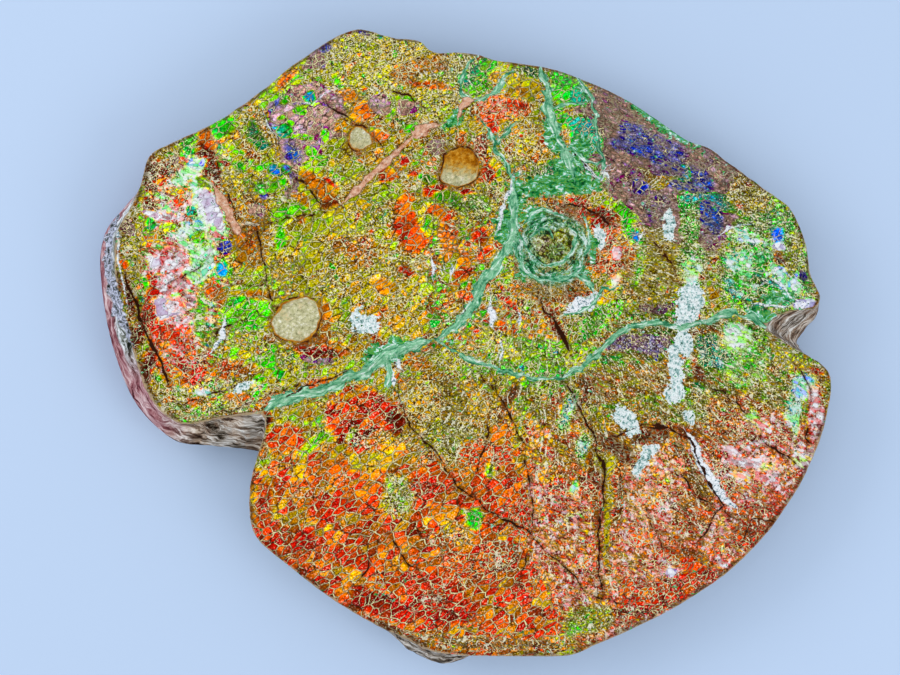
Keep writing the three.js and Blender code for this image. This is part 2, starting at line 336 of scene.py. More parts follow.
VEINS = [
    ("stem", 1.5, [(26, 91), (23, 98), (18, 105), (17, 109)]),
    ("fork left", 1.2, [(17, 109), (15, 114), (13, 118), (10, 122)]),
    ("fork right", 1.4, [(18, 109), (20, 113), (24, 118), (28, 122)]),
    ("oval ring", 1.4, [
        (8, 159), (3, 155), (0, 149), (-2, 143), (0, 138), (4, 135), (10, 135), (17, 138), (20, 142),
        (23, 148), (27, 152),
    ]),
    ("band between the lobes", 2.9, [(43, 154), (45, 145), (46, 136), (47, 128), (49, 119), (52, 112)]),
    ("band low", 3.3, [(52, 112), (55, 105), (57, 98), (59, 93)]),
    ("lobe cross wall", 1.4, [(49, 130), (55, 132), (61, 132), (66, 133)]),
    ("lobe right wall", 1.2, [
        (62, 149), (67, 142), (70, 135), (72, 125), (74, 115), (75, 106), (77, 97), (78, 91),
    ]),
    ("lobe low wall", 1.1, [(56, 109), (61, 105), (66, 100), (72, 98), (76, 100)]),
    ("to the notch", 1.9, [(130, 12), (135, 14), (140, 17), (145, 18), (151, 17)]),
    ("vein end", 2.5, [(151, 17), (158, 15), (163, 11), (167, 9)]),
    ("hub left band", 2.2, [(27, 92), (27, 82), (27, 71), (27, 59), (29, 49)]),
    ("hub bottom arc", 1.4, [(29, 49), (32, 43), (37, 38), (45, 36), (53, 36), (60, 38), (65, 43)]),
    ("hub right arc", 0.7, [(64, 45), (66, 51), (68, 56), (68, 62), (67, 68), (64, 72)]),
    ("hub inner arc", 0.8, [(30, 61), (34, 55), (38, 49)]),
    ("hub low band", 0.7, [(40, 46), (46, 43), (53, 44), (58, 48), (61, 54), (61, 60), (58, 64)]),
    ("hub knob edge", 0.6, [(36, 59), (39, 62), (42, 64), (46, 63), (49, 59)]),
    ("hub green line", 0.9, [(31, 65), (36, 71), (44, 74), (51, 73), (57, 69)]),
    ("hub pointer", 1.5, [(60, 39), (65, 37), (68, 32), (70, 27)]),
    ("main", 3.2, [
        (-109, -35), (-100, -30), (-89, -27), (-76, -24), (-64, -19), (-51, -13), (-40, -6), (-28, -1),
        (-17, 3),
    ]),
    ("blob", 4.4, [(-50, -14), (-45, -8), (-38, -3), (-32, 0)]),
    ("tail", 2.6, [(-41, -6), (-40, -14), (-41, -22)]),
    ("rising", 2.6, [
        (-17, 3), (-9, 7), (-3, 12), (3, 19), (7, 26), (11, 35), (17, 43), (22, 50), (25, 58), (27, 66),
        (27, 77), (27, 88),
    ]),
    ("falling", 1.2, [
        (-15, 3), (-8, -2), (-2, -5), (7, -9), (16, -12), (27, -15), (36, -17), (46, -18), (54, -17),
    ]),
    ("crossing", 1.8, [
        (54, -17), (64, -12), (70, -6), (77, 0), (82, 6), (90, 10), (99, 12), (110, 11), (121, 10),
        (131, 13), (140, 17), (151, 17),
    ]),
    ("under bar", 1.3, [(54, 16), (64, 19), (70, 24), (76, 30), (81, 31)]),
]
SEAMS = [
    ("pink bit", 2.3, [(-3, 126), (-2, 130), (2, 134), (6, 135)]),
    ("upper left seam low", 2.5, [(-137, 87), (-134, 81), (-130, 74), (-127, 68), (-123, 62)]),
    ("long seam", 1.5, [(-64, 80), (-56, 87), (-48, 95), (-40, 102), (-32, 109), (-27, 114)]),
    ("long seam head", 2.8, [(-33, 108), (-27, 114), (-21, 118), (-15, 120)]),
]
GLINTS = [
    ("strip", 2.5, [(123, -48), (126, -55), (130, -63), (135, -71), (140, -79), (145, -85), (149, -89)]),
    ("rib over the mauve", 0.6, [(-70, 141), (-75, 139), (-79, 136), (-83, 133), (-89, 133)]),
    ("seam side white", 0.5, [(-111, 129), (-108, 123), (-104, 117), (-101, 110)]),
    ("tip glint", 0.7, [(138, 58), (141, 62), (144, 65), (150, 66), (157, 66)]),
    ("tip swoosh", 0.7, [(151, 55), (155, 58), (161, 58), (168, 55)]),
    ("pocket lip", 0.8, [(159, 23), (166, 21), (174, 21), (181, 22)]),
    ("pocket top", 0.6, [(162, 33), (167, 36), (172, 35), (178, 30), (185, 24)]),
    ("notch ray", 0.6, [(177, 41), (182, 36), (188, 31)]),
    ("lobe glint", 1.2, [(64, 100), (68, 96), (72, 92), (75, 90)]),
    ("lobe glint 2", 1.3, [(75, 90), (77, 94), (79, 90)]),
    ("venter lip", 0.6, [(-192, 64), (-191, 51), (-189, 37), (-187, 25)]),
    ("beside the rising vein", 0.8, [(27, 92), (25, 84), (21, 75), (20, 68), (18, 59)]),
    ("bar over the crossing", 1.7, [(15, 24), (15, 17), (16, 8)]),
    ("dash 1", 1.0, [(-7, 44), (-6, 37)]),
    ("dash 2", 1.2, [(-17, 45), (-16, 39)]),
    ("dash by the blob", 1.8, [(-36, -8), (-34, -12)]),
    ("tail dash", 1.2, [(-38, -15), (-39, -22)]),
    ("small dash", 1.0, [(20, 5), (20, -7)]),
    ("dash hub", 0.9, [(30, 19), (29, 11)]),
    ("crescent", 1.4, [(-131, 16), (-132, 8), (-134, 2), (-139, -3)]),
    ("wing glint", 0.9, [(96, 61), (95, 58)]),
    ("under bar white", 2.8, [(56, 18), (62, 22), (69, 25)]),
]
# The furrow's white streaks are painted glints, painted highlights
FURROW = [
    ("venter furrow", 2.8, [
        (-193, 73), (-197, 63), (-198, 53), (-197, 42), (-195, 31), (-192, 20), (-187, 10), (-183, 1),
    ]),
]

# ==== The fossil: colour fields of the nacre =====================================================
# The nacre's colour comes from how thick its layers are, so each field is told by where it lies
# in the spectrum. Each row: field, x, y, half length, half width, turn in degrees, then
# film (0 violet, 0.15 blue, 0.25 teal, 0.4 green, 0.6 gold, 0.75 orange, 0.9 red, 1 deep red),
# spread of film from tile to tile, play (share of tiles that flash), tone (from about 1.4 up the
# tiles are painted pale as glare, a painted highlight, and many such rows are named pale or white),
# grain (0 coarse tiles, 0.5 fine, 1 streaks) and speck (cream crackle).
MAUVE_BELOW = 0.14  # film this low is mauve or violet nacre
BODY_LOOK = (0.60, 0.14, 0.30, 0.9, 0.45, 0.35)
PATCHES = [
    ("lower field", -34, -116, 105, 65, 0, 0.775, 0.13, 0.6, 1.16, 0, 0.23),
    ("lower right field", 130, -101, 91, 65, 35, 0.765, 0.12, 0.8, 1.38, 1, 0.3),
    ("right middle", 132, -14, 74, 30, -5, 0.55, 0.19, 0.4, 0.95, 0.9, 0.38),
    ("upper right shoulder", 112, 100, 58, 36, -38, 0, 0.06, 0.06, 1.21, 1, 0.12),
    ("right tip", 172, 50, 30, 40, -20, 0.45, 0.14, 0.6, 1.05, 0.9, 0.45),
    ("middle", 4, 31, 52, 38, 0, 0.61, 0.22, 0.5, 1.08, 0.45, 0.29),
    ("left plate", -83, 53, 38, 44, 0, 0.55, 0.11, 0.45, 1, 0.22, 0.3),
    ("top crust", -37, 151, 50, 25, -5, 0.565, 0.05, 0.2, 1.2, 0.4, 0.65),
    ("upper left plate", -121, 100, 20, 30, 0, 0.57, 0.12, 0.22, 0.95, 0.3, 0.3),
    ("glare plate", -153, 53, 26, 69, -3, 0.62, 0.35, 0.9, 1.42, 0.9, 0.3),
    ("lower left lip", -144, -32, 34, 16, -5, 0.57, 0.2, 0.5, 1.27, 0.6, 0.6),
    ("olive under pit", -72, -10, 30, 14, 10, 0.58, 0.14, 0.35, 0.95, 0.4, 0.37),
    ("green flake at rim", -132, 122, 7, 6, 10, 0.4, 0.04, 1, 1, 0.07, 0.04),
    ("green streak below it", -125, 108, 6, 2, -25, 0.43, 0.05, 0.9, 1, 0.2, 0.08),
    ("green lower streak", -123, 98, 4, 3, 15, 0.41, 0.05, 1, 1, 0.2, 0.08),
    ("teal grey flank", -112, 116, 7, 10, 0, 0.33, 0.05, 0.05, 0.8, 0.4, 0.24),
    ("green rim", -99, 145, 20, 7, 38, 0.49, 0.07, 0.9, 1.2, 0.26, 0.24),
    ("green near top", -80, 145, 3, 2, 20, 0.4, 0.02, 1, 1, 0, 0.04),
    ("green near top 2", -69, 146, 3, 2, -30, 0.41, 0.02, 1, 1, 0, 0.04),
    ("orange patch", -65, 137, 8, 5, -10, 0.725, 0.03, 0.7, 1.2, 0.2, 0.1),
    ("orange patch 2", -55, 128, 6, 7, -30, 0.725, 0.03, 0.8, 1.2, 0.2, 0.1),
    ("green top chips", -33, 135, 5, 2, 5, 0.42, 0.03, 1, 1, 0, 0.08),
    ("green top chips 2", -40, 126, 3, 4, -20, 0.43, 0.04, 0.9, 1, 0.07, 0.08),
    ("green top chip", -29, 119, 3, 3, 0, 0.4, 0.02, 1, 1, 0, 0.04),
    ("brown crust", -32, 149, 6, 5, 40, 0.72, 0.04, 0.1, 0.85, 0.53, 0.16),
    ("brown crust 2", -18, 155, 12, 5, 10, 0.66, 0.04, 0.1, 0.85, 0.53, 0.41),
    ("red streak in crust", -14, 142, 9, 2, -15, 0.82, 0.05, 0.8, 1, 0.34, 0.24),
    ("blue rim", -77, 165, 4, 3, 30, 0.13, 0.04, 0.2, 0.9, 0.4, 0.24),
    ("blue at peak", -56, 174, 4, 2, -20, 0.12, 0.04, 0.2, 1, 0.4, 0.24),
    ("teal rim dot", -46, 172, 2, 2, 0, 0.22, 0.03, 0.6, 0.8, 0, 0.08),
    ("mauve under peak", -83, 157, 7, 6, 30, 0.02, 0.06, 0.1, 1, 0.34, 0.32),
    ("orange chips", -46, 113, 4, 4, -20, 0.76, 0.05, 0.9, 1, 0, 0.24),
    ("olive strip", -64, 85, 16, 4, 35, 0.58, 0.06, 0.3, 0.9, 0.34, 0.32),
    ("red chips", -42, 93, 5, 3, -20, 0.84, 0.05, 1, 1, 0, 0.16),
    ("red chips 2", -33, 101, 3, 3, 0, 0.88, 0.04, 1, 1, 0, 0.16),
    ("orange chip right", -27, 93, 3, 2, 0, 0.84, 0.04, 1, 1, 0, 0.16),
    ("grey green chip", -19, 90, 5, 3, 0, 0.33, 0.04, 0.1, 0.85, 0.2, 0.16),
    ("red wedge", -15, 85, 7, 3, 25, 0.93, 0.04, 1, 0.95, 0.07, 0.16),
    ("red block", 2, 83, 4, 2, -10, 0.95, 0.03, 1, 0.9, 0.13, 0.08),
    ("brown by pit", -14, 107, 5, 4, 0, 0, 0.04, 0.05, 0.7, 0.34, 0.16),
    ("orange column", -2, 113, 3, 5, 0, 0.75, 0.04, 0.9, 1, 0.13, 0.32),
    ("red specks", 10, 107, 4, 8, -10, 0.86, 0.08, 0.8, 1.1, 0.6, 0.57),
    ("red specks 2", 13, 94, 4, 4, -30, 0.9, 0.05, 0.9, 1.05, 0.2, 0.24),
    ("brown zone", -115, 63, 10, 20, 0, 0.68, 0.04, 0.05, 0.85, 0.47, 0.16),
    ("blue chips left", -109, 83, 3, 2, 0, 0.08, 0.03, 0.3, 0.8, 0, 0.08),
    ("green chips middle", -93, 73, 9, 4, 10, 0.43, 0.05, 0.95, 1, 0.07, 0.16),
    ("green chips middle 2", -100, 58, 4, 9, 0, 0.42, 0.04, 0.9, 0.95, 0.07, 0.16),
    ("olive green spread", -83, 58, 14, 14, 0, 0.56, 0.06, 0.4, 0.95, 0.15, 0.3),
    ("orange chips middle", -89, 68, 2, 2, 0, 0.8, 0.02, 1, 1.1, 0, 0),
    ("olive crackle", -67, 44, 19, 19, 0, 0.59, 0.05, 0.4, 1, 0.3, 0.55),
    ("amber crackle", -40, 33, 22, 22, 0, 0.61, 0.07, 0.45, 1, 0.3, 0.45),
    ("green field", -119, 21, 15, 13, 0, 0.43, 0.06, 0.9, 1, 0.1, 0.28),
    ("brown streak in it", -116, 28, 15, 2, -5, 0.7, 0.04, 0.2, 0.9, 0.26, 0.16),
    ("green low chip", -109, -5, 6, 7, 0, 0.41, 0.04, 0.95, 0.9, 0.1, 0.1),
    ("green low", -106, -10, 4, 3, -20, 0.4, 0.03, 1, 1.1, 0, 0.04),
    ("green low 2", -101, -15, 4, 3, -30, 0.39, 0.03, 1, 1, 0, 0.04),
    ("green low 3", -108, -8, 3, 2, 0, 0.4, 0.03, 1, 1.2, 0, 0.04),
    ("brown below pit", -76, 1, 15, 4, -15, 0.73, 0.04, 0.2, 0.95, 0.34, 0.16),
    ("violet below pit", -80, -6, 10, 4, -10, 0.02, 0.05, 0.25, 0.8, 0.4, 0.19),
    ("red seam side", -89, -24, 20, 2, 21, 0.84, 0.05, 0.9, 1, 0.2, 0.29),
    ("orange chips lip", -122, -29, 4, 3, 25, 0.78, 0.05, 1, 1.05, 0, 0.19),
    ("green lip chips", -112, -17, 3, 2, 0, 0.4, 0.03, 1, 1.2, 0, 0.1),
    ("red triangle", -30, 64, 8, 6, -60, 0.84, 0.03, 1, 1, 0, 0.04),
    ("red triangle 2", -24, 59, 6, 4, -50, 0.82, 0.04, 1, 1.1, 0, 0.08),
    ("orange gold smooth", -8, 59, 6, 9, 0, 0.73, 0.03, 0.85, 1, 0.53, 0.08),
    ("orange gold smooth 2", -0, 48, 4, 6, 0, 0.75, 0.04, 0.85, 1, 0.47, 0.16),
    ("red block low", 8, 60, 4, 4, 0, 0.87, 0.04, 1, 1, 0.2, 0.17),
    ("red block mid", -9, 70, 4, 3, 0, 0.86, 0.05, 1, 1.05, 0.07, 0.24),
    ("red streaks", 11, 50, 5, 2, 25, 0.85, 0.05, 1, 1, 0.2, 0.24),
    ("green dull", 4, 77, 11, 4, 5, 0.42, 0.05, 0.1, 0.95, 0.5, 0.4),
    ("red chips mid", -1, 40, 4, 3, 30, 0.83, 0.05, 1, 1, 0.13, 0.24),
    ("orange by vein", 2, 28, 4, 5, 50, 0.74, 0.06, 0.9, 1.1, 0.2, 0.32),
    ("yellow by vein", -6, 23, 4, 6, 30, 0.66, 0.06, 0.95, 1.1, 0.2, 0.32),
    ("yellow green by hub", 22, 39, 5, 7, 0, 0.53, 0.07, 1, 1.15, 0.5, 0.42),
    ("orange below hub", 33, 31, 7, 5, 0, 0.74, 0.06, 0.85, 1.05, 0.5, 0.33),
    ("red diagonal", 25, 23, 8, 2, -42, 0.86, 0.04, 1, 1.05, 0.2, 0.17),
    ("orange block", 21, 11, 3, 5, 0, 0.79, 0.03, 1, 1.05, 0.1, 0.09),
    ("yellow block", 32, 12, 3, 4, 0, 0.63, 0.04, 1, 1.15, 0.2, 0.17),
    ("green patch right", 70, 12, 8, 7, 0, 0.45, 0.07, 0.9, 1.05, 0.6, 0.33),
    ("brown crack side", 50, 10, 3, 14, 28, 0.88, 0.04, 0.1, 0.65, 0.6, 0.17),
    ("yellow olive", -4, -7, 15, 6, -15, 0.57, 0.05, 0.6, 1.05, 0.6, 0.37),
    ("olive brown sheet", -7, -42, 31, 24, -20, 0.65, 0.07, 0.15, 1.04, 0.6, 0.4),
    ("dark red field", -55, -40, 20, 16, -10, 0.855, 0.12, 0.8, 1.04, 0.1, 0.35),
    ("maroon corner", -37, -42, 6, 5, 0, 0.915, 0.05, 0.4, 0.78, 0.2, 0.1),
    ("gold under vein", -64, -28, 14, 2, 17, 0.68, 0.04, 0.6, 1.1, 0.4, 0.19),
    ("olive corner", -89, -39, 12, 6, 15, 0.5, 0.08, 0.6, 1, 0.2, 0.29),
    ("red corner", -98, -51, 10, 8, 20, 0.825, 0.09, 1, 1.14, 0, 0.19),
    ("orange corner", -101, -49, 4, 3, 20, 0.78, 0.05, 1, 1.14, 0, 0.14),
    ("green line 1", -82, -53, 11, 3, 40, 0.46, 0.06, 1, 1.1, 0, 0.19),
    ("olive between", -86, -37, 5, 4, 0, 0.66, 0.04, 0.4, 0.94, 0.1, 0.19),
    ("cream flakes", -57, -51, 7, 4, -20, 0.55, 0.4, 0.6, 1.3, 0.3, 0.75),
    ("olive band", -53, -63, 23, 5, 3, 0.62, 0.05, 0.6, 0.95, 0.1, 0.23),
    ("yellow flakes", -110, -84, 8, 12, 20, 0.66, 0.08, 0.95, 1.14, 0, 0.19),
    ("bright yellow chip", -90, -72, 4, 2, 30, 0.66, 0.02, 1, 1.3, 0, 0),
    ("red orange band", -67, -86, 28, 7, 18, 0.825, 0.09, 0.95, 1.14, 0, 0.19),
    ("yellow orange band", -78, -77, 20, 4, 25, 0.75, 0.06, 0.9, 1, 0.05, 0.37),
    ("cream speckle", -36, -82, 8, 13, 0, 0.55, 0.08, 0.4, 1.04, 0.5, 0.46),
    ("red near crack", -21, -78, 9, 7, -30, 0.845, 0.06, 0.9, 0.99, 0.2, 0.29),
    ("green spot", 6, -95, 5, 6, -20, 0.38, 0.03, 1, 1.2, 0.3, 0.12),
    ("green spot 2", -0, -91, 2, 2, 0, 0.38, 0.03, 1, 1.1, 0.3, 0.14),
    ("gold around it", -4, -105, 10, 7, 0, 0.68, 0.05, 0.5, 1.04, 0.3, 0.46),
    ("orange gold field", -7, -125, 22, 12, 10, 0.775, 0.06, 0.8, 1.04, 0.15, 0.33),
    ("deep red field", -84, -134, 33, 8, -32, 0.845, 0.08, 0.8, 1.09, 0, 0.2),
    ("maroon rim", -46, -143, 16, 7, -18, 0.925, 0.05, 0.7, 0.99, 0.1, 0.15),
    ("maroon rim 2", -12, -145, 19, 8, -5, 0.905, 0.06, 0.8, 1.04, 0.15, 0.2),
    ("bottom gold strip", 9, -164, 44, 4, -3, 0.7, 0.06, 0.4, 0.88, 0.9, 0.33),
    ("brown bottom edge", -34, -161, 22, 3, -28, 0.78, 0.05, 0.2, 0.62, 0.8, 0.29),
    ("olive green foot", 70, -151, 13, 8, 8, 0.58, 0.06, 0.5, 0.99, 0.8, 0.42),
    ("red big chip", -89, -107, 6, 4, 30, 0.925, 0.02, 1, 1.09, 0, 0.04),
    ("orange red streaks", 114, -101, 29, 28, 0, 0.775, 0.12, 0.9, 1.4, 1, 0.33),
    ("orange streaks left", 53, -94, 21, 30, 0, 0.76, 0.12, 0.9, 1.38, 0.9, 0.29),
    ("gold streaks", 53, -51, 13, 25, 0, 0.71, 0.1, 0.6, 1.14, 0.95, 0.37),
    ("yellow chips", 81, -46, 4, 7, 0, 0.64, 0.05, 1, 1.2, 1, 0.33),
    ("brown olive ridge", 105, -49, 21, 4, 5, 0.79, 0.04, 0, 0.54, 0.9, 0.09),
    ("gold under ridge", 90, -49, 8, 2, 30, 0.68, 0.03, 0.7, 1.04, 0.8, 0.17),
    ("olive furrow", 79, -95, 2, 32, 0, 0.575, 0.02, 0, 0.92, 0.3, 0.1),
    ("olive furrow head", 79, -63, 5, 9, -15, 0.575, 0.03, 0, 0.99, 0.5, 0.2),
    ("orange right", 155, -40, 23, 12, -10, 0.78, 0.1, 0.8, 1.35, 1, 0.42),
    ("orange brown edge", 164, -101, 14, 7, 30, 0.79, 0.07, 0.7, 1.14, 0.9, 0.24),
    ("maroon tiles", 109, -138, 25, 8, 22, 0.87, 0.08, 0.7, 1.12, 0.5, 0.25),
    ("gold corner", 125, -90, 12, 11, 0, 0.76, 0.09, 0.6, 1.14, 1, 0.33),
    ("mauve streaks", 96, 1, 18, 5, 0, 0.05, 0.08, 0.15, 1.3, 1, 0.6),
    ("amber streaks", 105, -17, 13, 9, 0, 0.68, 0.08, 0.5, 0.9, 1, 0.42),
    ("amber left", 80, -21, 15, 10, 0, 0.66, 0.09, 0.55, 0.95, 0.95, 0.33),
    ("magenta streaks", 105, 21, 9, 4, 5, 0.02, 0.06, 0.5, 0.8, 1, 0.24),
    ("gold smooth", 105, 42, 12, 21, 0, 0.59, 0.03, 0.03, 1.12, 1, 0.3),
    ("violet streaks", 93, 113, 16, 8, -15, 0.07, 0.06, 0.3, 1.11, 1, 0.21),
    ("violet streaks 2", 111, 105, 12, 8, -30, 0.08, 0.06, 0.3, 1.11, 1, 0.21),
    ("blue streaks", 125, 90, 13, 8, -10, 0.1, 0.07, 0.35, 1.06, 1, 0.21),
    ("teal streaks", 119, 94, 7, 4, 0, 0.24, 0.05, 0.7, 0.9, 1, 0.17),
    ("mauve shoulder", 144, 96, 10, 9, -45, 0, 0.05, 0.05, 1.06, 1, 0.09),
    ("brown shoulder", 78, 121, 6, 16, 15, 0, 0.05, 0.03, 1.06, 1, 0.09),
    ("olive shoulder", 105, 92, 12, 6, 10, 0.66, 0.05, 0.15, 0.85, 1, 0.24),
    ("magenta tiles", 91, 91, 7, 3, 10, 0.01, 0.05, 0.7, 0.91, 0.6, 0.17),
    ("violet tiles", 97, 86, 6, 4, 0, 0.08, 0.04, 0.8, 0.86, 0.2, 0.09),
    ("brown mauve low", 105, 75, 8, 10, 0, 0.03, 0.07, 0.1, 0.96, 0.9, 0.24),
    ("green teal streaks", 133, 78, 16, 6, -5, 0.29, 0.06, 0.85, 1, 1, 0.33),
    ("green speckle", 124, 67, 6, 11, 0, 0.4, 0.05, 0.95, 1.05, 1, 0.5),
    ("blue spot low", 137, 69, 4, 8, 0, 0.12, 0.03, 0.4, 0.9, 1, 0.17),
    ("olive crust", 158, 84, 12, 12, -30, 0.6, 0.04, 0.15, 1.05, 0.8, 0.66),
    ("hub olive ring", 48, 59, 15, 14, 0, 0.51, 0.06, 0.45, 0.78, 0.6, 0.3),
    ("hub green", 41, 68, 8, 5, 20, 0.4, 0.05, 0.6, 0.85, 0.5, 0.5),
    ("hub yellow arc", 51, 62, 8, 3, -28, 0.58, 0.03, 0.8, 1.1, 0.7, 0.17),
    ("hub knob", 42, 56, 5, 4, 0, 0.03, 0.05, 0.05, 1.2, 0.3, 0.83),
    ("hub brown wedge", 36, 45, 7, 3, -38, 0.69, 0.04, 0.2, 0.9, 0.6, 0.24),
    ("hub olive right", 61, 58, 3, 11, 15, 0.5, 0.04, 0.3, 0.65, 0.6, 0.3),
    ("hub olive low", 64, 43, 7, 3, 40, 0.58, 0.04, 0.3, 0.85, 0.6, 0.24),
    ("amber over hub", 47, 78, 5, 3, -45, 0.65, 0.03, 0.5, 0.9, 0.7, 0.09),
    ("brown band", 53, 73, 8, 4, -15, 0.75, 0.05, 0.3, 0.95, 0.7, 0.24),
    ("red band", 62, 78, 7, 3, -8, 0.9, 0.05, 1, 1.15, 0.3, 0.42),
    ("orange in band", 61, 70, 6, 3, -15, 0.77, 0.05, 0.7, 0.95, 0.7, 0.24),
    ("red band 2", 65, 72, 3, 3, 0, 0.91, 0.04, 1, 1.15, 0.2, 0.33),
    ("maroon band", 76, 71, 7, 5, -20, 0.93, 0.05, 0.4, 0.95, 0.5, 0.2),
    ("red band 3", 73, 68, 3, 4, 10, 0.91, 0.04, 1, 1.1, 0.2, 0.33),
    ("orange red band", 79, 62, 8, 4, 5, 0.8, 0.07, 1, 1.3, 0.3, 0.2),
    ("red band low", 79, 57, 3, 3, 0, 0.88, 0.05, 1, 1.1, 0.3, 0.24),
    ("gold field", 76, 47, 12, 8, -5, 0.745, 0.06, 0.8, 1.25, 0.6, 0.35),
    ("gold lump", 87, 55, 3, 3, 0, 0.66, 0.03, 0.9, 1.05, 0.2, 0.17),
    ("brown right of band", 89, 47, 4, 8, 10, 0.72, 0.05, 0.4, 0.85, 0.6, 0.33),
    ("pink bits", 83, 50, 3, 4, 0, 0.9, 0.1, 1, 1.7, 0.4, 0.5),
    ("white bits", 82, 35, 3, 6, -30, 0.62, 0.1, 1, 1.9, 0.4, 0.42),
    ("yellow bit", 78, 32, 2, 3, 0, 0.64, 0.02, 1, 1.3, 0.1, 0.09),
    ("yellow wing", 82, 76, 8, 3, -30, 0.54, 0.05, 0.9, 1, 0.5, 0.24),
    ("green wing", 88, 72, 4, 7, 38, 0.41, 0.03, 1, 1, 0.3, 0.09),
    ("green wing low", 90, 63, 3, 6, 30, 0.37, 0.03, 1, 0.95, 0.2, 0.09),
    ("blue wing tip", 94, 59, 2, 3, 10, 0.2, 0.03, 0.9, 0.9, 0.2, 0),
    ("green strip right", 95, 46, 3, 11, -6, 0.48, 0.05, 0.85, 0.95, 0.6, 0.33),
    ("brown below hub", 53, 30, 16, 6, 3, 0.7, 0.03, 0.1, 0.82, 0.85, 0.09),
    ("orange brown low", 62, 26, 12, 3, 12, 0.78, 0.04, 0.55, 0.9, 0.7, 0.17),
    ("green lump", 79, 21, 9, 6, 28, 0.44, 0.07, 1, 1.1, 0.5, 0.33),
    ("yellow in lump", 79, 26, 6, 2, 12, 0.62, 0.04, 1, 1.2, 0.2, 0.09),
    ("olive top lip", -166, 108, 12, 7, 38, 0.62, 0.05, 0.15, 0.8, 0.34, 0.41),
    ("grey brown speckle", -168, 93, 11, 9, 10, 0.9, 0.2, 0.15, 0.85, 0.7, 1),
    ("violet speckle", -160, 103, 4, 3, 0, 0.03, 0.05, 0.1, 0.8, 0.26, 0.65),
    ("white cracked plate", -158, 74, 14, 20, 0, 0.7, 0.4, 0.8, 1.5, 0.9, 0.7),
    ("bright green lip", -150, 111, 5, 6, 10, 0.43, 0.06, 1, 1.1, 0.2, 0.36),
    ("orange wedge", -142, 113, 4, 9, 14, 0.775, 0.02, 0.15, 1, 0.34, 0),
    ("brown seam middle", -139, 98, 12, 4, -64, 0.95, 0.05, 0.08, 0.85, 0.4, 0.41),
    ("glare white top", -146, 100, 5, 4, 0, 0.3, 0.2, 1, 1.75, 0.3, 0.2),
    ("glare mint top", -153, 94, 9, 4, 12, 0.42, 0.14, 1, 1.65, 0.9, 0.35),
    ("glare mint right", -145, 78, 4, 16, 6, 0.4, 0.14, 1, 1.75, 0.9, 0.2),
    ("lime by seam", -141, 89, 4, 3, -20, 0.49, 0.05, 1, 1.1, 0.2, 0.1),
    ("glare lavender right", -138, 74, 5, 12, 22, 0.06, 0.08, 1, 2.2, 0.1, 0.1),
    ("glare mint low", -149, 61, 9, 7, 20, 0.4, 0.16, 1, 1.65, 0.9, 0.4),
    ("glare right low", -141, 46, 5, 11, 0, 0.38, 0.1, 0.9, 1.6, 0.2, 0.5),
    ("glare pink mid", -162, 70, 7, 3, 5, 0.93, 0.08, 1, 1.62, 0.9, 0.3),
    ("glare lip", -173, 74, 7, 3, -30, 0.02, 0.1, 1, 2.1, 0.3, 0.3),
    ("glare pink low", -160, 35, 12, 6, 15, 0.95, 0.05, 1, 1.62, 0.6, 0.3),
    ("glare lavender low", -165, 21, 10, 6, 0, 0.06, 0.1, 1, 2.1, 0.2, 0.3),
    ("glare pink foot", -155, 24, 9, 4, 20, 0.92, 0.14, 1, 1.6, 0.9, 0.4),
    ("yellow flecks", -158, 86, 7, 2, 0, 0.6, 0.05, 1, 1.2, 0.2, 0.1),
    ("orange flecks", -167, 90, 3, 4, 0, 0.76, 0.08, 1, 1.15, 0.3, 0.2),
    ("orange fleck", -157, 81, 3, 3, 0, 0.74, 0.06, 1, 1.15, 0.2, 0.1),
    ("mint fleck", -150, 73, 3, 3, 0, 0.26, 0.05, 1, 1.1, 0.1, 0.1),
    ("green fleck", -173, 67, 3, 3, -40, 0.36, 0.05, 1, 1.2, 0.1, 0.1),
    ("lime fleck", -162, 65, 5, 3, 0, 0.49, 0.05, 1, 1.15, 0.1, 0.1),
    ("lime fleck 2", -145, 60, 4, 3, 10, 0.49, 0.06, 1, 1.2, 0.1, 0.1),
    ("amber triangle", -173, 58, 8, 4, 25, 0.66, 0.12, 1, 1.15, 0.3, 0.1),
    ("blue chips", -131, 54, 5, 3, 20, 0.12, 0.04, 0.4, 1, 0.13, 0.24),
    ("cyan triangle", -132, 43, 3, 5, 0, 0.21, 0.03, 1, 1.3, 0, 0.04),
    ("red left edge", -110, -95, 4, 22, 0, 0.845, 0.1, 0.8, 1.09, 0, 0.19),
    ("red left edge chip", -172, 35, 2, 5, 25, 0.9, 0.05, 1, 1.15, 0.1, 0.1),
    ("green left edge", -176, 33, 2, 4, 20, 0.41, 0.03, 1, 1.15, 0, 0.05),
    ("red lozenge", -171, 28, 4, 2, 5, 0.9, 0.02, 1, 1.15, 0, 0),
    ("red field left", -162, 4, 13, 11, 15, 0.84, 0.06, 1, 1.38, 0.4, 0.15),
    ("red edge run", -172, 17, 3, 8, 0, 0.9, 0.06, 1, 1.1, 0.3, 0.4),
    ("pink in red", -156, 14, 8, 3, 15, 0.93, 0.08, 1, 1.55, 0.4, 0.6),
    ("orange low left", -165, -14, 4, 9, 20, 0.77, 0.07, 1, 1.3, 0.2, 0.19),
    ("red low middle", -151, -13, 10, 8, 25, 0.83, 0.08, 0.9, 1.3, 0.4, 0.33),
    ("white cracked foot", -149, -3, 7, 6, 0, 0.85, 0.2, 0.6, 1.35, 0.4, 0.75),
    ("lime band", -144, 16, 3, 16, 0, 0.47, 0.08, 1, 1.3, 0.8, 0.1),
    ("orange beside it", -136, 29, 5, 7, 30, 0.74, 0.05, 0.6, 0.95, 0.26, 0.24),
    ("amber low", -158, -18, 6, 3, -20, 0.68, 0.06, 1, 1.1, 0.2, 0.19),
    ("olive strip left", -183, 47, 4, 25, -6, 0.56, 0.06, 0.35, 0.9, 0.5, 0.4),
    ("mauve at its top", -187, 67, 4, 7, 20, 0, 0.06, 0.05, 0.85, 0.5, 0.5),
    ("olive spot", -179, 66, 3, 3, 0, 0.55, 0.04, 0.2, 0.75, 0.5, 0.3),
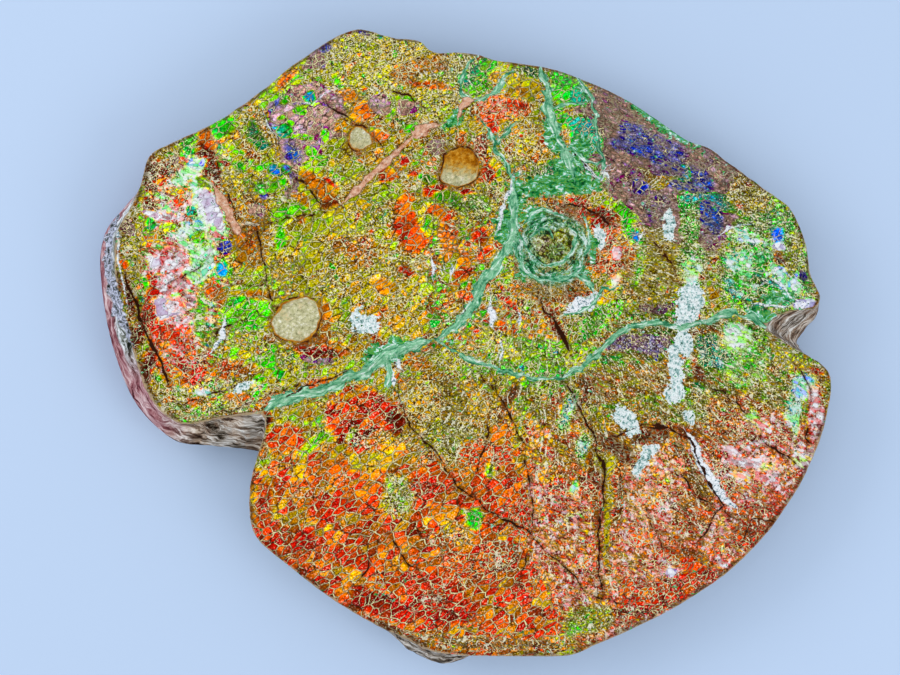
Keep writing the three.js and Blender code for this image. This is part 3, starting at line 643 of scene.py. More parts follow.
    ("red chip strip", -188, 45, 2, 4, 12, 0.86, 0.05, 1, 1.05, 0.1, 0.05),
    ("dark strip", -186, 28, 2, 9, 10, 1, 0.04, 0.1, 0.5, 0.3, 0.2),
    ("maroon tiles strip", -180, 9, 3, 15, -22, 0.98, 0.05, 0.3, 0.65, 0.3, 0.3),
    ("maroon tiles strip 2", -174, -12, 4, 11, -25, 0.98, 0.06, 0.3, 0.6, 0.3, 0.33),
    ("olive at foot of it", -171, -29, 7, 9, -35, 0.6, 0.12, 0.3, 0.85, 0.4, 0.56),
    ("tip crust", 171, 53, 21, 19, -20, 0.42, 0.09, 0.6, 1.25, 0.8, 0.6),
    ("green speckled tip", 162, 45, 13, 8, -12, 0.38, 0.07, 1, 1.37, 0.8, 0.42),
    ("green speckled tip 2", 153, 34, 11, 7, 0, 0.38, 0.1, 0.8, 1.37, 0.8, 0.5),
    ("green flecks by furrow", 124, 46, 8, 12, 0, 0.46, 0.1, 0.6, 1.2, 0.9, 0.66),
    ("pale by tip", 150, 46, 7, 6, 0, 0.34, 0.1, 1, 1.6, 0.6, 0.5),
    ("pale over pocket", 175, 42, 11, 4, -35, 0.34, 0.2, 1, 1.65, 0.5, 0.5),
    ("brown knot at tip", 174, 50, 3, 3, 0, 0.7, 0.04, 0.1, 0.8, 0.5, 0.24),
    ("blue dot", 174, 61, 4, 4, 10, 0.14, 0.03, 1, 1.3, 0, 0.04),
    ("pale under blue dot", 174, 55, 4, 2, 0, 0.1, 0.1, 1, 2.1, 0.3, 0.24),
    ("blue streak edge", 188, 38, 3, 3, -20, 0.1, 0.03, 0.9, 0.95, 1, 0.09),
    ("yellow edge of tip", 193, 41, 2, 4, 0, 0.55, 0.06, 1, 1.1, 0.3, 0.17),
    ("green in pocket", 169, 25, 3, 2, -15, 0.36, 0.02, 1, 1.15, 0, 0),
    ("green by tip rim", 186, 28, 3, 2, -10, 0.43, 0.04, 0.9, 1.15, 0.3, 0.33),
    ("pale tip rim", 188, 22, 7, 3, 10, 0.12, 0.1, 1, 2, 0.5, 0.33),
    ("green under vein", 159, 5, 9, 5, 0, 0.45, 0.06, 1, 1.1, 0.8, 0.5),
    ("red brown knot", 128, -14, 3, 7, 28, 0.84, 0.04, 0.12, 0.7, 0.8, 0.24),
    ("brown knot by block", 131, 5, 6, 4, 10, 0.8, 0.05, 0.1, 0.7, 0.8, 0.5),
    ("green right", 154, -11, 15, 11, -12, 0.44, 0.08, 1, 1.36, 1, 0.4),
    ("pale green right", 137, -7, 9, 7, -10, 0.3, 0.05, 0.4, 1.35, 0.9, 0.75),
    ("olive right of it", 166, -27, 10, 6, -25, 0.57, 0.06, 0.4, 0.85, 0.9, 0.42),
    ("olive corner right", 183, -9, 13, 6, -35, 0.56, 0.04, 0.25, 0.9, 0.9, 0.24),
    ("yellow edge", 179, -4, 7, 2, -35, 0.58, 0.06, 0.9, 1, 1, 0.24),
    ("red rim chips", 195, -14, 7, 2, -12, 0.85, 0.06, 1, 1.1, 0.9, 0.24),
    ("teal grey right", 182, -39, 5, 12, -5, 0.28, 0.05, 0.4, 1.55, 0.9, 0.83),
    ("pale right edge", 190, -23, 7, 8, 5, 0.28, 0.2, 1, 1.6, 1, 0.6),
    ("pink right edge", 196, -38, 4, 15, 5, 0.95, 0.1, 1, 1.6, 1, 0.3),
    ("pale right edge low", 190, -62, 6, 9, 20, 0.92, 0.35, 1, 1.6, 1, 0.5),
    ("blue chip right 2", 105, -6, 2, 2, 0, 0.1, 0.02, 1, 1, 0.3, 0),
    ("olive green right", 124, -33, 16, 9, -12, 0.55, 0.08, 0.4, 0.99, 1, 0.42),
    ("orange right 2", 151, -38, 19, 11, -8, 0.73, 0.12, 0.75, 1.25, 1, 0.57),
    ("red pink right", 169, -51, 13, 13, -20, 0.83, 0.14, 0.9, 1.42, 1, 0.42),
    ("pink glare right", 167, -65, 8, 11, 10, 0.93, 0.2, 0.9, 1.55, 1, 0.7),
    ("bright red edge", 176, -86, 11, 8, 35, 0.82, 0.07, 1, 1.39, 1, 0.17),
    ("orange low edge", 163, -91, 9, 3, 10, 0.8, 0.05, 0.9, 1.04, 0.9, 0.24),
    ("pink brown speckle", 142, -70, 5, 12, 25, 0.85, 0.1, 0.35, 1.3, 0.9, 0.83),
    ("olive brown strip", 125, -70, 4, 18, 32, 0.72, 0.06, 0.15, 0.75, 1, 0.33),
    ("gold in ridge", 114, -49, 3, 3, 0, 0.68, 0.03, 0.8, 1.04, 0.6, 0.09),
    ("mauve plate", -85, 120, 22, 23, 0, 0.01, 0.05, 0.08, 1.32, 0.2, 0.12),
    ("mauve brown", -79, 121, 8, 11, 0, 0.01, 0.04, 0.03, 1.25, 0.3, 0.15),
    ("violet by seam", -102, 134, 6, 4, 0, 0.08, 0.04, 0.05, 0.9, 0.22, 0.12),
    ("green rim lobe low", -103, 140, 7, 3, 35, 0.5, 0.05, 0.9, 1, 0.2, 0.24),
    ("blue chip", -105, 121, 2, 1, -20, 0.12, 0.02, 1, 1.5, 0, 0),
    ("blue chip pale", -102, 119, 2, 1, 0, 0.17, 0.02, 1, 1.6, 0, 0),
    ("teal chip 2", -97, 118, 3, 2, 10, 0.27, 0.03, 0.9, 1, 0, 0),
    ("cyan chip", -100, 115, 2, 2, 0, 0.21, 0.02, 1, 1.5, 0, 0),
    ("grey green chip 3", -96, 114, 3, 3, 0, 0.32, 0.04, 0.05, 1, 0.2, 0.16),
    ("green chips", -98, 134, 3, 3, -30, 0.38, 0.03, 1, 1, 0, 0.08),
    ("green chips 2", -99, 125, 3, 2, 0, 0.4, 0.03, 1, 1.1, 0, 0.04),
    ("green chips 3", -95, 120, 2, 3, 0, 0.39, 0.03, 1, 1, 0, 0.04),
    ("green chip 4", -90, 129, 3, 2, 0, 0.41, 0.03, 1, 1, 0, 0.08),
    ("lime under white rib", -83, 132, 7, 1, 8, 0.46, 0.03, 1, 1, 0, 0.08),
    ("teal by rib", -84, 136, 3, 3, 0, 0.24, 0.04, 1, 0.9, 0, 0.08),
    ("green steps", -87, 114, 6, 2, 5, 0.44, 0.05, 0.95, 1, 0.07, 0.16),
    ("green steps 2", -81, 104, 6, 3, -30, 0.43, 0.06, 0.95, 1, 0.07, 0.16),
    ("green upright", -75, 115, 2, 4, 0, 0.41, 0.04, 1, 1, 0, 0.04),
    ("olive spread over seam", -68, 106, 8, 8, 30, 0.52, 0.05, 0.6, 0.95, 0.2, 0.32),
    ("lime steps low", -82, 98, 6, 3, 0, 0.48, 0.05, 0.9, 1.05, 0.07, 0.16),
    ("violet blue strip", -93, 106, 6, 3, -50, 0.1, 0.03, 0.05, 0.85, 0.2, 0.16),
    ("blue corner", -103, 94, 3, 2, 0, 0.15, 0.03, 0.4, 1, 0, 0.08),
    ("teal corner", -104, 97, 3, 2, 0, 0.24, 0.02, 0.6, 1, 0, 0.08),
    ("green corner", -99, 97, 2, 3, 0, 0.36, 0.02, 1, 1.05, 0, 0),
    ("blue tip", -97, 98, 2, 2, 0, 0.15, 0.02, 1, 1.4, 0, 0),
    ("violet flake", -92, 92, 6, 3, -45, 0.04, 0.02, 0.2, 0.8, 0.2, 0.08),
    ("mauve dark spot", -94, 84, 4, 4, 0, 0.02, 0.02, 0.05, 0.75, 0.3, 0.1),
    ("tan below it", -89, 81, 7, 3, -30, 0.72, 0.04, 0.1, 1.1, 0.34, 0.24),
    ("green under it", -99, 89, 3, 3, 20, 0.4, 0.02, 1, 1.1, 0, 0.04),
    ("lime beside it", -103, 87, 3, 3, 20, 0.48, 0.04, 1, 1, 0, 0.08),
    ("orange flake", -80, 88, 11, 4, -38, 0.745, 0.04, 0.25, 1.1, 0.2, 0.04),
    ("red edge of flake", -72, 88, 4, 1, -42, 0.88, 0.03, 1, 1.1, 0.07, 0),
    ("brown end of flake", -72, 78, 5, 4, 20, 0.8, 0.03, 0, 0.5, 0.4, 0.08),
    ("tan band", -108, 117, 15, 3, -58, 0.66, 0.03, 0.1, 1.05, 0.47, 0.57),
    ("oval lobe", 11, 148, 14, 8, 42, 0.42, 0.07, 0.85, 1.1, 0.3, 0.24),
    ("dark green in lobe", 3, 148, 4, 7, -20, 0.33, 0.04, 0.6, 0.8, 0.4, 0.32),
    ("orange in lobe", 19, 146, 4, 3, 30, 0.7, 0.08, 0.7, 1.1, 0.5, 0.33),
    ("lime in lobe", 20, 153, 4, 3, -10, 0.5, 0.06, 0.9, 1, 0.5, 0.33),
    ("gold cell", 32, 143, 9, 7, 0, 0.6, 0.04, 0.4, 1, 0.1, 0.04),
    ("orange in gold cell", 31, 140, 4, 3, 0, 0.72, 0.03, 0.5, 0.9, 0.2, 0.09),
    ("grey green top cell", 37, 151, 7, 3, -8, 0.34, 0.05, 0.03, 1, 0.8, 0.66),
    ("orange red patch", 22, 130, 15, 7, -3, 0.75, 0.05, 0.95, 1.38, 0.3, 0.42),
    ("red blob", 29, 131, 6, 3, 5, 0.82, 0.02, 1, 1.1, 0.8, 0.04),
    ("red patch low", 12, 124, 7, 3, -10, 0.8, 0.04, 1, 1.25, 0.4, 0.33),
    ("red triangle top", 16, 118, 3, 4, 0, 0.9, 0.03, 0.8, 0.85, 0.2, 0.09),
    ("gold right of fork", 37, 119, 8, 4, 20, 0.62, 0.04, 0.5, 0.9, 0.7, 0.24),
    ("brown mottle", 35, 108, 12, 9, -10, 0.68, 0.12, 0.5, 1.15, 0.4, 0.5),
    ("pale knob", 42, 107, 4, 4, 0, 0.66, 0.05, 0.3, 1.35, 0.5, 0.75),
    ("orange bar", 44, 113, 4, 2, -10, 0.78, 0.03, 0.8, 0.95, 0.2, 0.17),
    ("lobe green", 53, 143, 6, 10, -15, 0.4, 0.05, 1, 1.25, 0.3, 0.15),
    ("lobe teal", 64, 138, 6, 7, -10, 0.3, 0.04, 1, 1.15, 0.4, 0.09),
    ("lobe pale top", 63, 146, 4, 2, 0, 0.45, 0.1, 0.9, 1.35, 0.3, 0.17),
    ("lobe low green", 54, 125, 6, 4, -40, 0.385, 0.05, 1, 1.2, 0.3, 0.15),
    ("lobe low teal", 66, 114, 8, 12, 25, 0.29, 0.05, 1, 1.25, 0.4, 0.12),
    ("lobe low teal streak", 70, 117, 3, 10, 20, 0.27, 0.03, 1, 1.05, 0.5, 0.17),
    ("green under lobe", 58, 92, 19, 7, 3, 0.34, 0.05, 0.45, 0.75, 0.7, 0.42),
    ("brown shoulder top", 81, 133, 9, 8, -40, 0, 0.04, 0.04, 1.11, 0.8, 0.04),
    # Painted shade: a black patch for a hole by the vein, which the mesh doesn't have
    ("black hole by vein", -109, -41, 2, 5, 5, 0.985, 0.02, 0, 0.12, 0, 0),
    ("brown halo right of white block", -43, 10, 8, 9, -30, 0.9, 0.06, 0.15, 0.75, 0.2, 0.32),
    ("brown zone between seams", -118, 55, 9, 13, 10, 0.7, 0.05, 0.15, 0.95, 0.47, 0.08),
    ("ochre left plate", -89, 41, 16, 14, 0, 0.61, 0.07, 0.35, 1, 0.3, 0.3),
    ("lime step under brown", -101, 72, 4, 4, 0, 0.47, 0.05, 0.9, 1.05, 0.13, 0.08),
    ("ochre ring around pit", -76, 16, 4, 13, 10, 0.7, 0.05, 0.3, 0.95, 0.26, 0.16),
    ("mauve red below pit", -79, -3, 13, 3, -8, 0.95, 0.05, 0.3, 0.85, 0.3, 0.29),
    ("olive lime under pit", -64, -14, 14, 4, 20, 0.56, 0.06, 0.5, 1, 0.3, 0.29),
    ("gold seam side", -78, -22, 16, 2, 20, 0.74, 0.04, 0.8, 1, 0.2, 0.19),
    ("lime in low field", -132, 1, 11, 4, -30, 0.52, 0.06, 0.7, 1, 0.3, 0.19),
    ("orange in low field", -128, -12, 8, 6, 10, 0.74, 0.08, 0.7, 1, 0.4, 0.37),
    ("mauve tan top", -30, 130, 6, 4, 0, 0, 0.04, 0.1, 1.1, 0.34, 0.24),
    ("tan mauve by seam", -113, 73, 5, 4, 0, 0, 0.02, 0.05, 0.95, 0.34, 0.32),
    ("lower green field", -123, 0, 16, 7, -5, 0.56, 0.1, 0.6, 1, 0.3, 0.37),
    ("lime mauve lobe", -70, 99, 7, 4, 0, 0.53, 0.05, 0.7, 1, 0.2, 0.24),
    ("olive over knob", 51, 64, 9, 3, 12, 0.55, 0.03, 0.5, 1, 0.5, 0.17),
    ("brown smooth below hub", 46, 31, 14, 4, 4, 0.66, 0.02, 0, 0.9, 0.7, 0.2),
    ("mint in plate", -149, 46, 5, 9, 0, 0.38, 0.08, 1, 1.6, 0.9, 0.3),
    ("pink in plate", -162, 47, 12, 6, 8, 0.95, 0.03, 1, 1.62, 0.5, 0.1),
    ("lavender in plate", -171, 47, 4, 3, 0, 0.05, 0.02, 1, 2, 0.2, 0.1),
    ("pale green block", 149, 5, 9, 7, -10, 0.43, 0.08, 1, 1.68, 1, 0.42),
    ("pale green block low", 159, 0, 4, 4, -20, 0.45, 0.06, 1, 1.5, 1, 0.33),
    ("mint over tip", 155, 59, 11, 4, -15, 0.4, 0.12, 0.8, 1.55, 0.8, 0.66),
    ("white tip patch", 179, 33, 8, 4, -20, 0.34, 0.15, 1, 1.75, 0.6, 0.5),
    ("olive tip edge", 184, 53, 4, 16, -20, 0.57, 0.04, 0.3, 1.05, 0.8, 0.5),
    ("dark in pocket", 174, 47, 4, 2, -20, 1, 0.1, 0, 0.3, 0.5, 0.24),
    ("white green by furrow", 125, 39, 6, 8, 0, 0.4, 0.12, 0.9, 1.6, 0.8, 0.66),
    ("orange band right of ridge", 141, -51, 9, 9, 0, 0.76, 0.08, 0.7, 1.2, 1, 0.42),
    ("green olive top of it", 130, 25, 4, 11, 0, 0.52, 0.1, 0.6, 1.1, 0.8, 0.57),
    ("green foot", 61, -158, 5, 3, 20, 0.42, 0.05, 1, 1.05, 0.6, 0.24),
    ("brown left of furrow", 71, -73, 2, 25, 3, 0.76, 0.03, 0, 0.52, 0.6, 0.09),
    ("brown right of furrow", 85, -81, 2, 16, 0, 0.76, 0.03, 0, 0.62, 0.6, 0.17),
    ("pink streak right 1", 149, -57, 8, 2, -8, 0.94, 0.1, 1, 1.75, 1, 0.42),
    ("pink streak right 2", 154, -64, 11, 2, -8, 0.95, 0.1, 1, 1.75, 1, 0.42),
    ("pale streak right 3", 149, -72, 7, 2, 0, 0.8, 0.3, 1, 1.7, 1, 0.5),
    ("pink streak right 4", 169, -75, 8, 3, -15, 0.95, 0.1, 1, 1.7, 1, 0.33),
    ("yellow streak right", 167, -68, 6, 2, -10, 0.56, 0.08, 1, 1.5, 1, 0.33),
    ("pale streak right 5", 166, -45, 6, 2, -20, 0.7, 0.3, 1, 1.65, 1, 0.5),
    ("pale streak right 6", 159, -38, 4, 2, -20, 0.6, 0.3, 1, 1.6, 1, 0.5),
    ("pink chips low right 2", 143, -119, 7, 2, -30, 0.93, 0.1, 1, 1.6, 1, 0.33),
    ("bright orange low right", 143, -111, 8, 4, 20, 0.75, 0.08, 1, 1.35, 0.8, 0.24),
    ("red brown corner", 158, -104, 7, 7, 0, 0.84, 0.06, 0.6, 1.04, 0.7, 0.17),
    ("red chips low right", 131, -124, 13, 4, -28, 0.88, 0.06, 0.9, 1.09, 0.3, 0.24),
    ("pale chips foot", 115, -125, 3, 3, 0, 0.05, 0.1, 1, 1.6, 0.5, 0.5),
    ("white chips mid", 108, -87, 7, 4, 0, 0.85, 0.3, 1, 1.45, 1, 0.57),
    ("white chips mid 2", 61, -92, 6, 3, 10, 0.785, 0.3, 1, 1.42, 1, 0.57),
    ("orange left foot", 97, -134, 11, 6, -10, 0.78, 0.07, 0.9, 1.2, 0.7, 0.24),
    ("lime middle", 47, -8, 26, 11, -5, 0.5, 0.07, 0.7, 1.1, 0.5, 0.29),
    ("lime middle left", 20, 1, 13, 7, -20, 0.55, 0.06, 0.8, 1.1, 0.5, 0.33),
    ("bright green middle", 46, -3, 6, 3, 0, 0.41, 0.05, 1, 1.2, 0.4, 0.24),
    ("orange block by vein", -25, -8, 7, 4, -35, 0.74, 0.06, 0.4, 1.05, 0.3, 0.29),
    ("olive above block", -34, 13, 14, 10, 30, 0.6, 0.07, 0.5, 1.1, 0.26, 0.41),
    ("orange beside middle crack", 42, -61, 6, 12, 5, 0.76, 0.07, 1, 1.25, 0.4, 0.29),
    ("red white streaks", 51, -83, 7, 9, 0, 0.825, 0.1, 1, 1.35, 0.8, 0.42),
    ("orange lime by crack", 24, -40, 4, 7, -20, 0.7, 0.08, 0.9, 1.2, 0.5, 0.24),
    ("red patch by shell edge", 20, -59, 7, 7, 0, 0.825, 0.06, 0.8, 1.14, 0.2, 0.24),
    ("dark brown furrow head", 62, -29, 4, 14, -25, 0.78, 0.04, 0, 0.5, 0.7, 0.09),
    ("pale chip", 62, -76, 2, 6, -35, 0.3, 0.2, 1, 1.7, 0.7, 0.33),
    ("brown block low", 69, -75, 7, 6, 0, 0.825, 0.05, 0.4, 0.83, 0.6, 0.24),
    ("green chips by shell edge", 14, -67, 3, 4, 30, 0.4, 0.05, 0.9, 1, 0.5, 0.33),
    ("chartreuse flat", -70, 68, 7, 8, -20, 0.55, 0.03, 0.3, 0.98, 0.1, 0.15),
    ("chartreuse tiles", -82, 49, 7, 7, 0, 0.555, 0.03, 0.35, 1, 0, 0.2),
    ("brown gold chips", -67, 54, 6, 6, 0, 0.7, 0.06, 0.3, 0.9, 0.2, 0.41),
    ("pinkish brown", -55, 50, 7, 8, 0, 0.74, 0.06, 0.2, 1, 0.26, 0.49),
    ("gold tiles", -43, 32, 7, 4, -5, 0.68, 0.03, 0.6, 1.05, 0.07, 0.08),
    ("red chip triangle", -32, 40, 4, 2, -30, 0.88, 0.03, 0.8, 0.8, 0.13, 0.08),
    ("orange block top", -33, 77, 5, 6, -20, 0.77, 0.03, 1, 1.2, 0, 0.08),
    ("orange low", -27, 54, 4, 4, 0, 0.76, 0.03, 1, 1.15, 0, 0.08),
    ("pale bits", -58, 72, 4, 3, 0, 0.62, 0.05, 0.1, 1.3, 0.34, 0.73),
    ("lime sheet", -42, 84, 9, 6, 0, 0.53, 0.05, 0.6, 1.1, 0.13, 0.24),
    ("olive speckle", -45, 66, 7, 8, 0, 0.56, 0.05, 0.2, 1.05, 0.4, 0.57),
    ("green haze falling", 20, -12, 19, 4, 8, 0.41, 0.05, 0.35, 1.25, 0.7, 0.24),
    ("green haze falling 2", 47, -17, 13, 4, 0, 0.42, 0.05, 0.5, 1.2, 0.7, 0.24),
    ("lime under it", 31, -21, 16, 3, 4, 0.5, 0.05, 0.6, 1.1, 0.8, 0.24),
    ("gray teal beside furrow", 57, -35, 4, 12, -18, 0.3, 0.06, 0.3, 1.45, 0.8, 0.75),
    ("gray teal low", 65, -54, 4, 8, -10, 0.32, 0.08, 0.3, 1.5, 0.8, 0.8),
    ("yellow red streaks", 42, -56, 7, 14, 4, 0.73, 0.12, 1, 1.35, 0.9, 0.24),
    ("yellow lime by crack", 30, -45, 2, 12, -12, 0.56, 0.06, 0.9, 1.2, 0.6, 0.17),
    ("dark brown by crack", 24, -30, 2, 12, -28, 0.78, 0.04, 0, 0.52, 0.8, 0.09),
    ("orange block mid", 20, -48, 6, 7, 0, 0.74, 0.07, 0.9, 1.2, 0.4, 0.24),
    ("khaki streaks", -10, -29, 22, 11, -8, 0.63, 0.06, 0.15, 1, 0.8, 0.35),
    ("khaki gray streaks", -8, -51, 14, 10, -20, 0.56, 0.07, 0.15, 1.12, 0.8, 0.5),
    ("ridge left arm", 83, -56, 12, 4, -40, 0.78, 0.05, 0, 0.62, 0.8, 0.09),
    ("gold in arm", 87, -52, 6, 2, -35, 0.66, 0.03, 0.6, 1.04, 0.6, 0.09),
    ("gray green tile", -9, 81, 6, 4, -10, 0.38, 0.03, 0.03, 1, 0.1, 0.05),
    ("orange tiles mid", -14, 73, 6, 3, -20, 0.76, 0.03, 0.95, 1.1, 0.1, 0.1),
    ("mauve tile top", -46, 132, 6, 7, 0, 0.01, 0.03, 0.03, 1.1, 0.2, 0.1),
    ("mauve tile top 2", -30, 130, 4, 3, 0, 0.02, 0.03, 0.1, 1.1, 0.1, 0.1),
    ("brown crust tiles", -18, 153, 11, 4, 0, 0.72, 0.04, 0.15, 1, 0.5, 0.4),
    ("orange by crust", -21, 144, 10, 2, -15, 0.76, 0.05, 0.9, 1.1, 0.3, 0.2),
    ("chartreuse by rim", -90, 157, 6, 4, 40, 0.52, 0.05, 0.7, 1.1, 0.2, 0.1),
    ("orange rim", -98, 147, 8, 3, 42, 0.72, 0.04, 0.9, 1.15, 0.2, 0.1),
    ("gold chips over seam", -49, 103, 8, 5, -40, 0.66, 0.06, 0.5, 1.05, 0.2, 0.3),
    ("orange over seam", -42, 97, 7, 2, -42, 0.76, 0.05, 0.9, 1.1, 0.2, 0.1),
    ("olive gray left of seam", -64, 94, 6, 4, -40, 0.52, 0.04, 0.1, 0.95, 0.2, 0.2),
    ("gold tile left of small pit", -67, 120, 5, 4, 0, 0.67, 0.03, 0.5, 1.05, 0.1, 0.2),
    ("navy streaks", 93, 109, 12, 4, -12, 0.1, 0.04, 0.5, 1.01, 1, 0.12),
    ("purple streaks", 112, 96, 10, 3, -10, 0.07, 0.05, 0.4, 1.01, 1, 0.12),
    ("navy streaks low", 133, 73, 4, 7, 10, 0.11, 0.03, 0.5, 0.96, 1, 0.12),
    ("orange right of hub", 73, 54, 4, 5, 0, 0.77, 0.05, 0.9, 1.25, 0.6, 0.3),
    ("brown under orange", 69, 46, 5, 3, -20, 0.76, 0.04, 0.2, 0.8, 0.6, 0.2),
    ("gold red chips below middle", 8, -59, 9, 7, 0, 0.785, 0.08, 0.8, 1.14, 0.3, 0.3),
    ("orange flecks in sheet", -18, -63, 9, 3, 20, 0.75, 0.07, 0.7, 1.09, 0.4, 0.4),
    ("red gold lower middle", 20, -83, 14, 8, -20, 0.785, 0.09, 0.8, 1.14, 0.2, 0.25),
    ("bright green tip", 165, 47, 7, 3, 0, 0.38, 0.04, 1, 1.41, 0.8, 0.2),
    ("bright green tip 2", 153, 34, 6, 2, -10, 0.39, 0.04, 1, 1.41, 0.8, 0.2),
    ("dark teal tip", 166, 36, 7, 2, -20, 0.28, 0.05, 0.6, 0.8, 0.8, 0.2),
    ("lime right low", 149, -14, 7, 3, -20, 0.45, 0.05, 1, 1.3, 1, 0.2),
    ("lime right low 2", 159, -6, 4, 3, -20, 0.42, 0.05, 1, 1.3, 1, 0.2),
    ("teal right of block", 133, 1, 6, 5, 0, 0.28, 0.05, 0.4, 1.15, 0.9, 0.4),
    ("white gray lip chips", -113, -21, 5, 3, -30, 0.5, 0.3, 0.7, 1.6, 0.6, 0.6),
    ("white gray lip chips 2", -144, -26, 6, 2, 0, 0.5, 0.3, 0.7, 1.6, 0.6, 0.6),
    ("orange lip chips", -126, -28, 7, 2, 5, 0.75, 0.05, 0.9, 1.15, 0.3, 0.2),
    ("orange lip low", -150, -30, 3, 2, 0, 0.775, 0.05, 0.9, 1.2, 0.3, 0.2),
    ("yellow by venter", -165, -3, 3, 7, -20, 0.66, 0.05, 1, 1.3, 0.4, 0.1),
    ("red gold low left", -156, -3, 8, 8, 0, 0.82, 0.08, 1, 1.36, 0.6, 0.2),
    ("pale by block", 112, -68, 10, 8, 0, 0.78, 0.16, 0.9, 1.46, 1, 0.5),
    ("gold chips low right", 97, -84, 10, 8, -20, 0.72, 0.07, 0.9, 1.38, 0.9, 0.3),
    ("orange plates low right", 105, -109, 14, 8, -15, 0.77, 0.06, 0.9, 1.35, 0.6, 0.2),
    ("brown streak low right", 125, -115, 12, 2, -15, 0.8, 0.04, 0.1, 0.83, 0.9, 0.2),
    ("orange by edge", 169, -60, 9, 3, -40, 0.76, 0.06, 1, 1.38, 1, 0.3),
    ("olive chips in red", -42, -51, 7, 4, -20, 0.66, 0.04, 0.3, 1.14, 0.4, 0.5),
    ("brown chips in red", -72, -67, 10, 4, 15, 0.76, 0.05, 0.3, 0.99, 0.1, 0.2),
    ("olive chips low left", -94, -95, 9, 4, 20, 0.66, 0.05, 0.5, 1, 0.1, 0.2),
    ("brown chips low left", -45, -105, 14, 6, -15, 0.78, 0.05, 0.3, 0.99, 0.1, 0.2),
    ("gold chips low left", -18, -122, 14, 4, -25, 0.765, 0.04, 0.6, 1, 0.1, 0.2),
    ("brown chips low left 2", -12, -108, 11, 4, -20, 0.8, 0.04, 0.2, 0.9, 0.1, 0.2),
    ("red chips low left", -62, -117, 13, 6, -20, 0.86, 0.04, 0.9, 1.05, 0.1, 0.15),
    ("red chips low left 2", -12, -133, 14, 4, -20, 0.86, 0.04, 0.9, 1.05, 0.1, 0.15),
    ("orange brown low middle", 20, -116, 11, 9, 0, 0.79, 0.06, 0.6, 1.05, 0.4, 0.3),
    ("red middle low", 31, -94, 6, 11, 10, 0.84, 0.06, 0.9, 1.15, 0.5, 0.3),
    ("green chips upper left", -113, 98, 4, 3, -20, 0.4, 0.03, 1, 1.05, 0.1, 0.1),
    ("green chips upper left 2", -110, 86, 3, 2, 0, 0.4, 0.03, 1, 1.05, 0.1, 0.1),
    ("green chips upper left 3", -119, 89, 3, 2, 20, 0.42, 0.03, 1, 1, 0.1, 0.1),
    ("brown plate upper left", -117, 108, 8, 3, -60, 0.74, 0.04, 0.1, 0.9, 0.3, 0.5),
    ("olive plate upper left", -127, 89, 6, 8, 0, 0.62, 0.04, 0.2, 0.9, 0.3, 0.4),
    ("white chips left lip", -161, 76, 4, 2, 0, 0.5, 0.3, 1, 1.6, 0.5, 0.5),
    ("dark speckle left lip", -173, 78, 5, 3, -20, 0.93, 0.1, 0.1, 0.65, 0.7, 0.7),
]

# White patches that stand for glare, painted highlights given a matt chalky white, and areas of
# green calcite: x, y, half length, half width, turn
GLARE_PATCHES = [
    ("block by the crossing", 123, 24, 8, 10, -8),
    ("block foot", 121, 13, 6, 4, 0),
    ("tail under it", 119, 1, 6, 7, 0),
    ("tail", 116, -14, 4, 14, 4),
    ("tail foot", 112, -27, 3, 5, 15),
    ("block under the ridge", 99, -62, 10, 3, 50),
    ("block arm", 102, -57, 4, 2, 10),
    ("left of the ridge", 89, -41, 5, 9, 35),
    ("crescent by the strip", 124, -39, 3, 4, 20),
    ("hub glare", 73, 59, 3, 6, -5),
    ("star", -54, 11, 7, 5, 20),
    ("star arm", -59, 16, 6, 2, 60),
    ("hub bar", 65, 22, 9, 3, 28),
    ("speck right", 112, 65, 4, 8, 0),
    ("pale lip", -122, -23, 7, 2, 35),
]
CALCITE = [
    ("fibres over the hub", 51, 87, 24, 6, 4),
    ("fibres up to the lobe", 56, 97, 9, 6, 20),
    ("crossing pocket", 172, 26, 10, 4, 0),
    ("vein end mottle", 164, 16, 9, 4, -15),
    ("left of the hub", 29, 79, 4, 13, 0),
    ("edge calcite", 110, 125, 23, 6, -38),
    ("vein meeting", -42, -3, 12, 6, 20),
    ("mottle right of the vein", 23, 64, 6, 10, 0),
    ("small pocket", -6, 123, 6, 3, 50),
    ("hub ring left", 30, 55, 3, 9, 8),
    ("hub ring low left", 36, 42, 8, 3, 38),
    ("hub ring low", 50, 36, 8, 2, 0),
    ("hub ring low right", 64, 42, 6, 3, -38),
    ("hub ring right", 70, 54, 2, 9, 6),
    ("hub swirl", 52, 51, 7, 6, 0),
    ("hub marble", 38, 70, 8, 5, -20),
    ("low lobe, left side", 49, 113, 9, 4, -62),
    ("low lobe, foot", 64, 108, 8, 5, -55),
    ("upper lobe, right side", 67, 140, 6, 3, -50),
]


FAR = 9.0  # distances to lines, pits and the rim are told up to this, in mm


def line_field(lines, x, y):
    """Signed distance to the nearest line and its half width there, which tapers at both ends."""
    best = np.full(x.shape, 1e9)
    signed = np.zeros_like(x)
    width = np.zeros_like(x)
    for unused, half, points in lines:
        pts = np.array(points, float)
        runs = np.linalg.norm(np.diff(pts, axis=0), axis=1)
        total = runs.sum()
        taper = min(9.0, total * 0.35)
        before = 0.0
        for a, b, run in zip(pts[:-1], pts[1:], runs):
            t = np.clip(((x - a[0]) * (b[0] - a[0]) + (y - a[1]) * (b[1] - a[1])) / run**2, 0, 1)
            dx, dy = x - a[0] - (b[0] - a[0]) * t, y - a[1] - (b[1] - a[1]) * t
            d = np.hypot(dx, dy)
            along = before + run * t
            near = d < best
            best[near] = d[near]
            side = np.sign((b[0] - a[0]) * dy - (b[1] - a[1]) * dx)
            signed[near] = (side * d)[near]
            ends = np.minimum(along, total - along) / taper
            width[near] = (half * (0.25 + 0.75 * np.minimum(ends, 1)))[near]
            before += run
    width *= 1 - smooth(5.0, 7.0, best)
    return np.clip(signed, -FAR, FAR), width


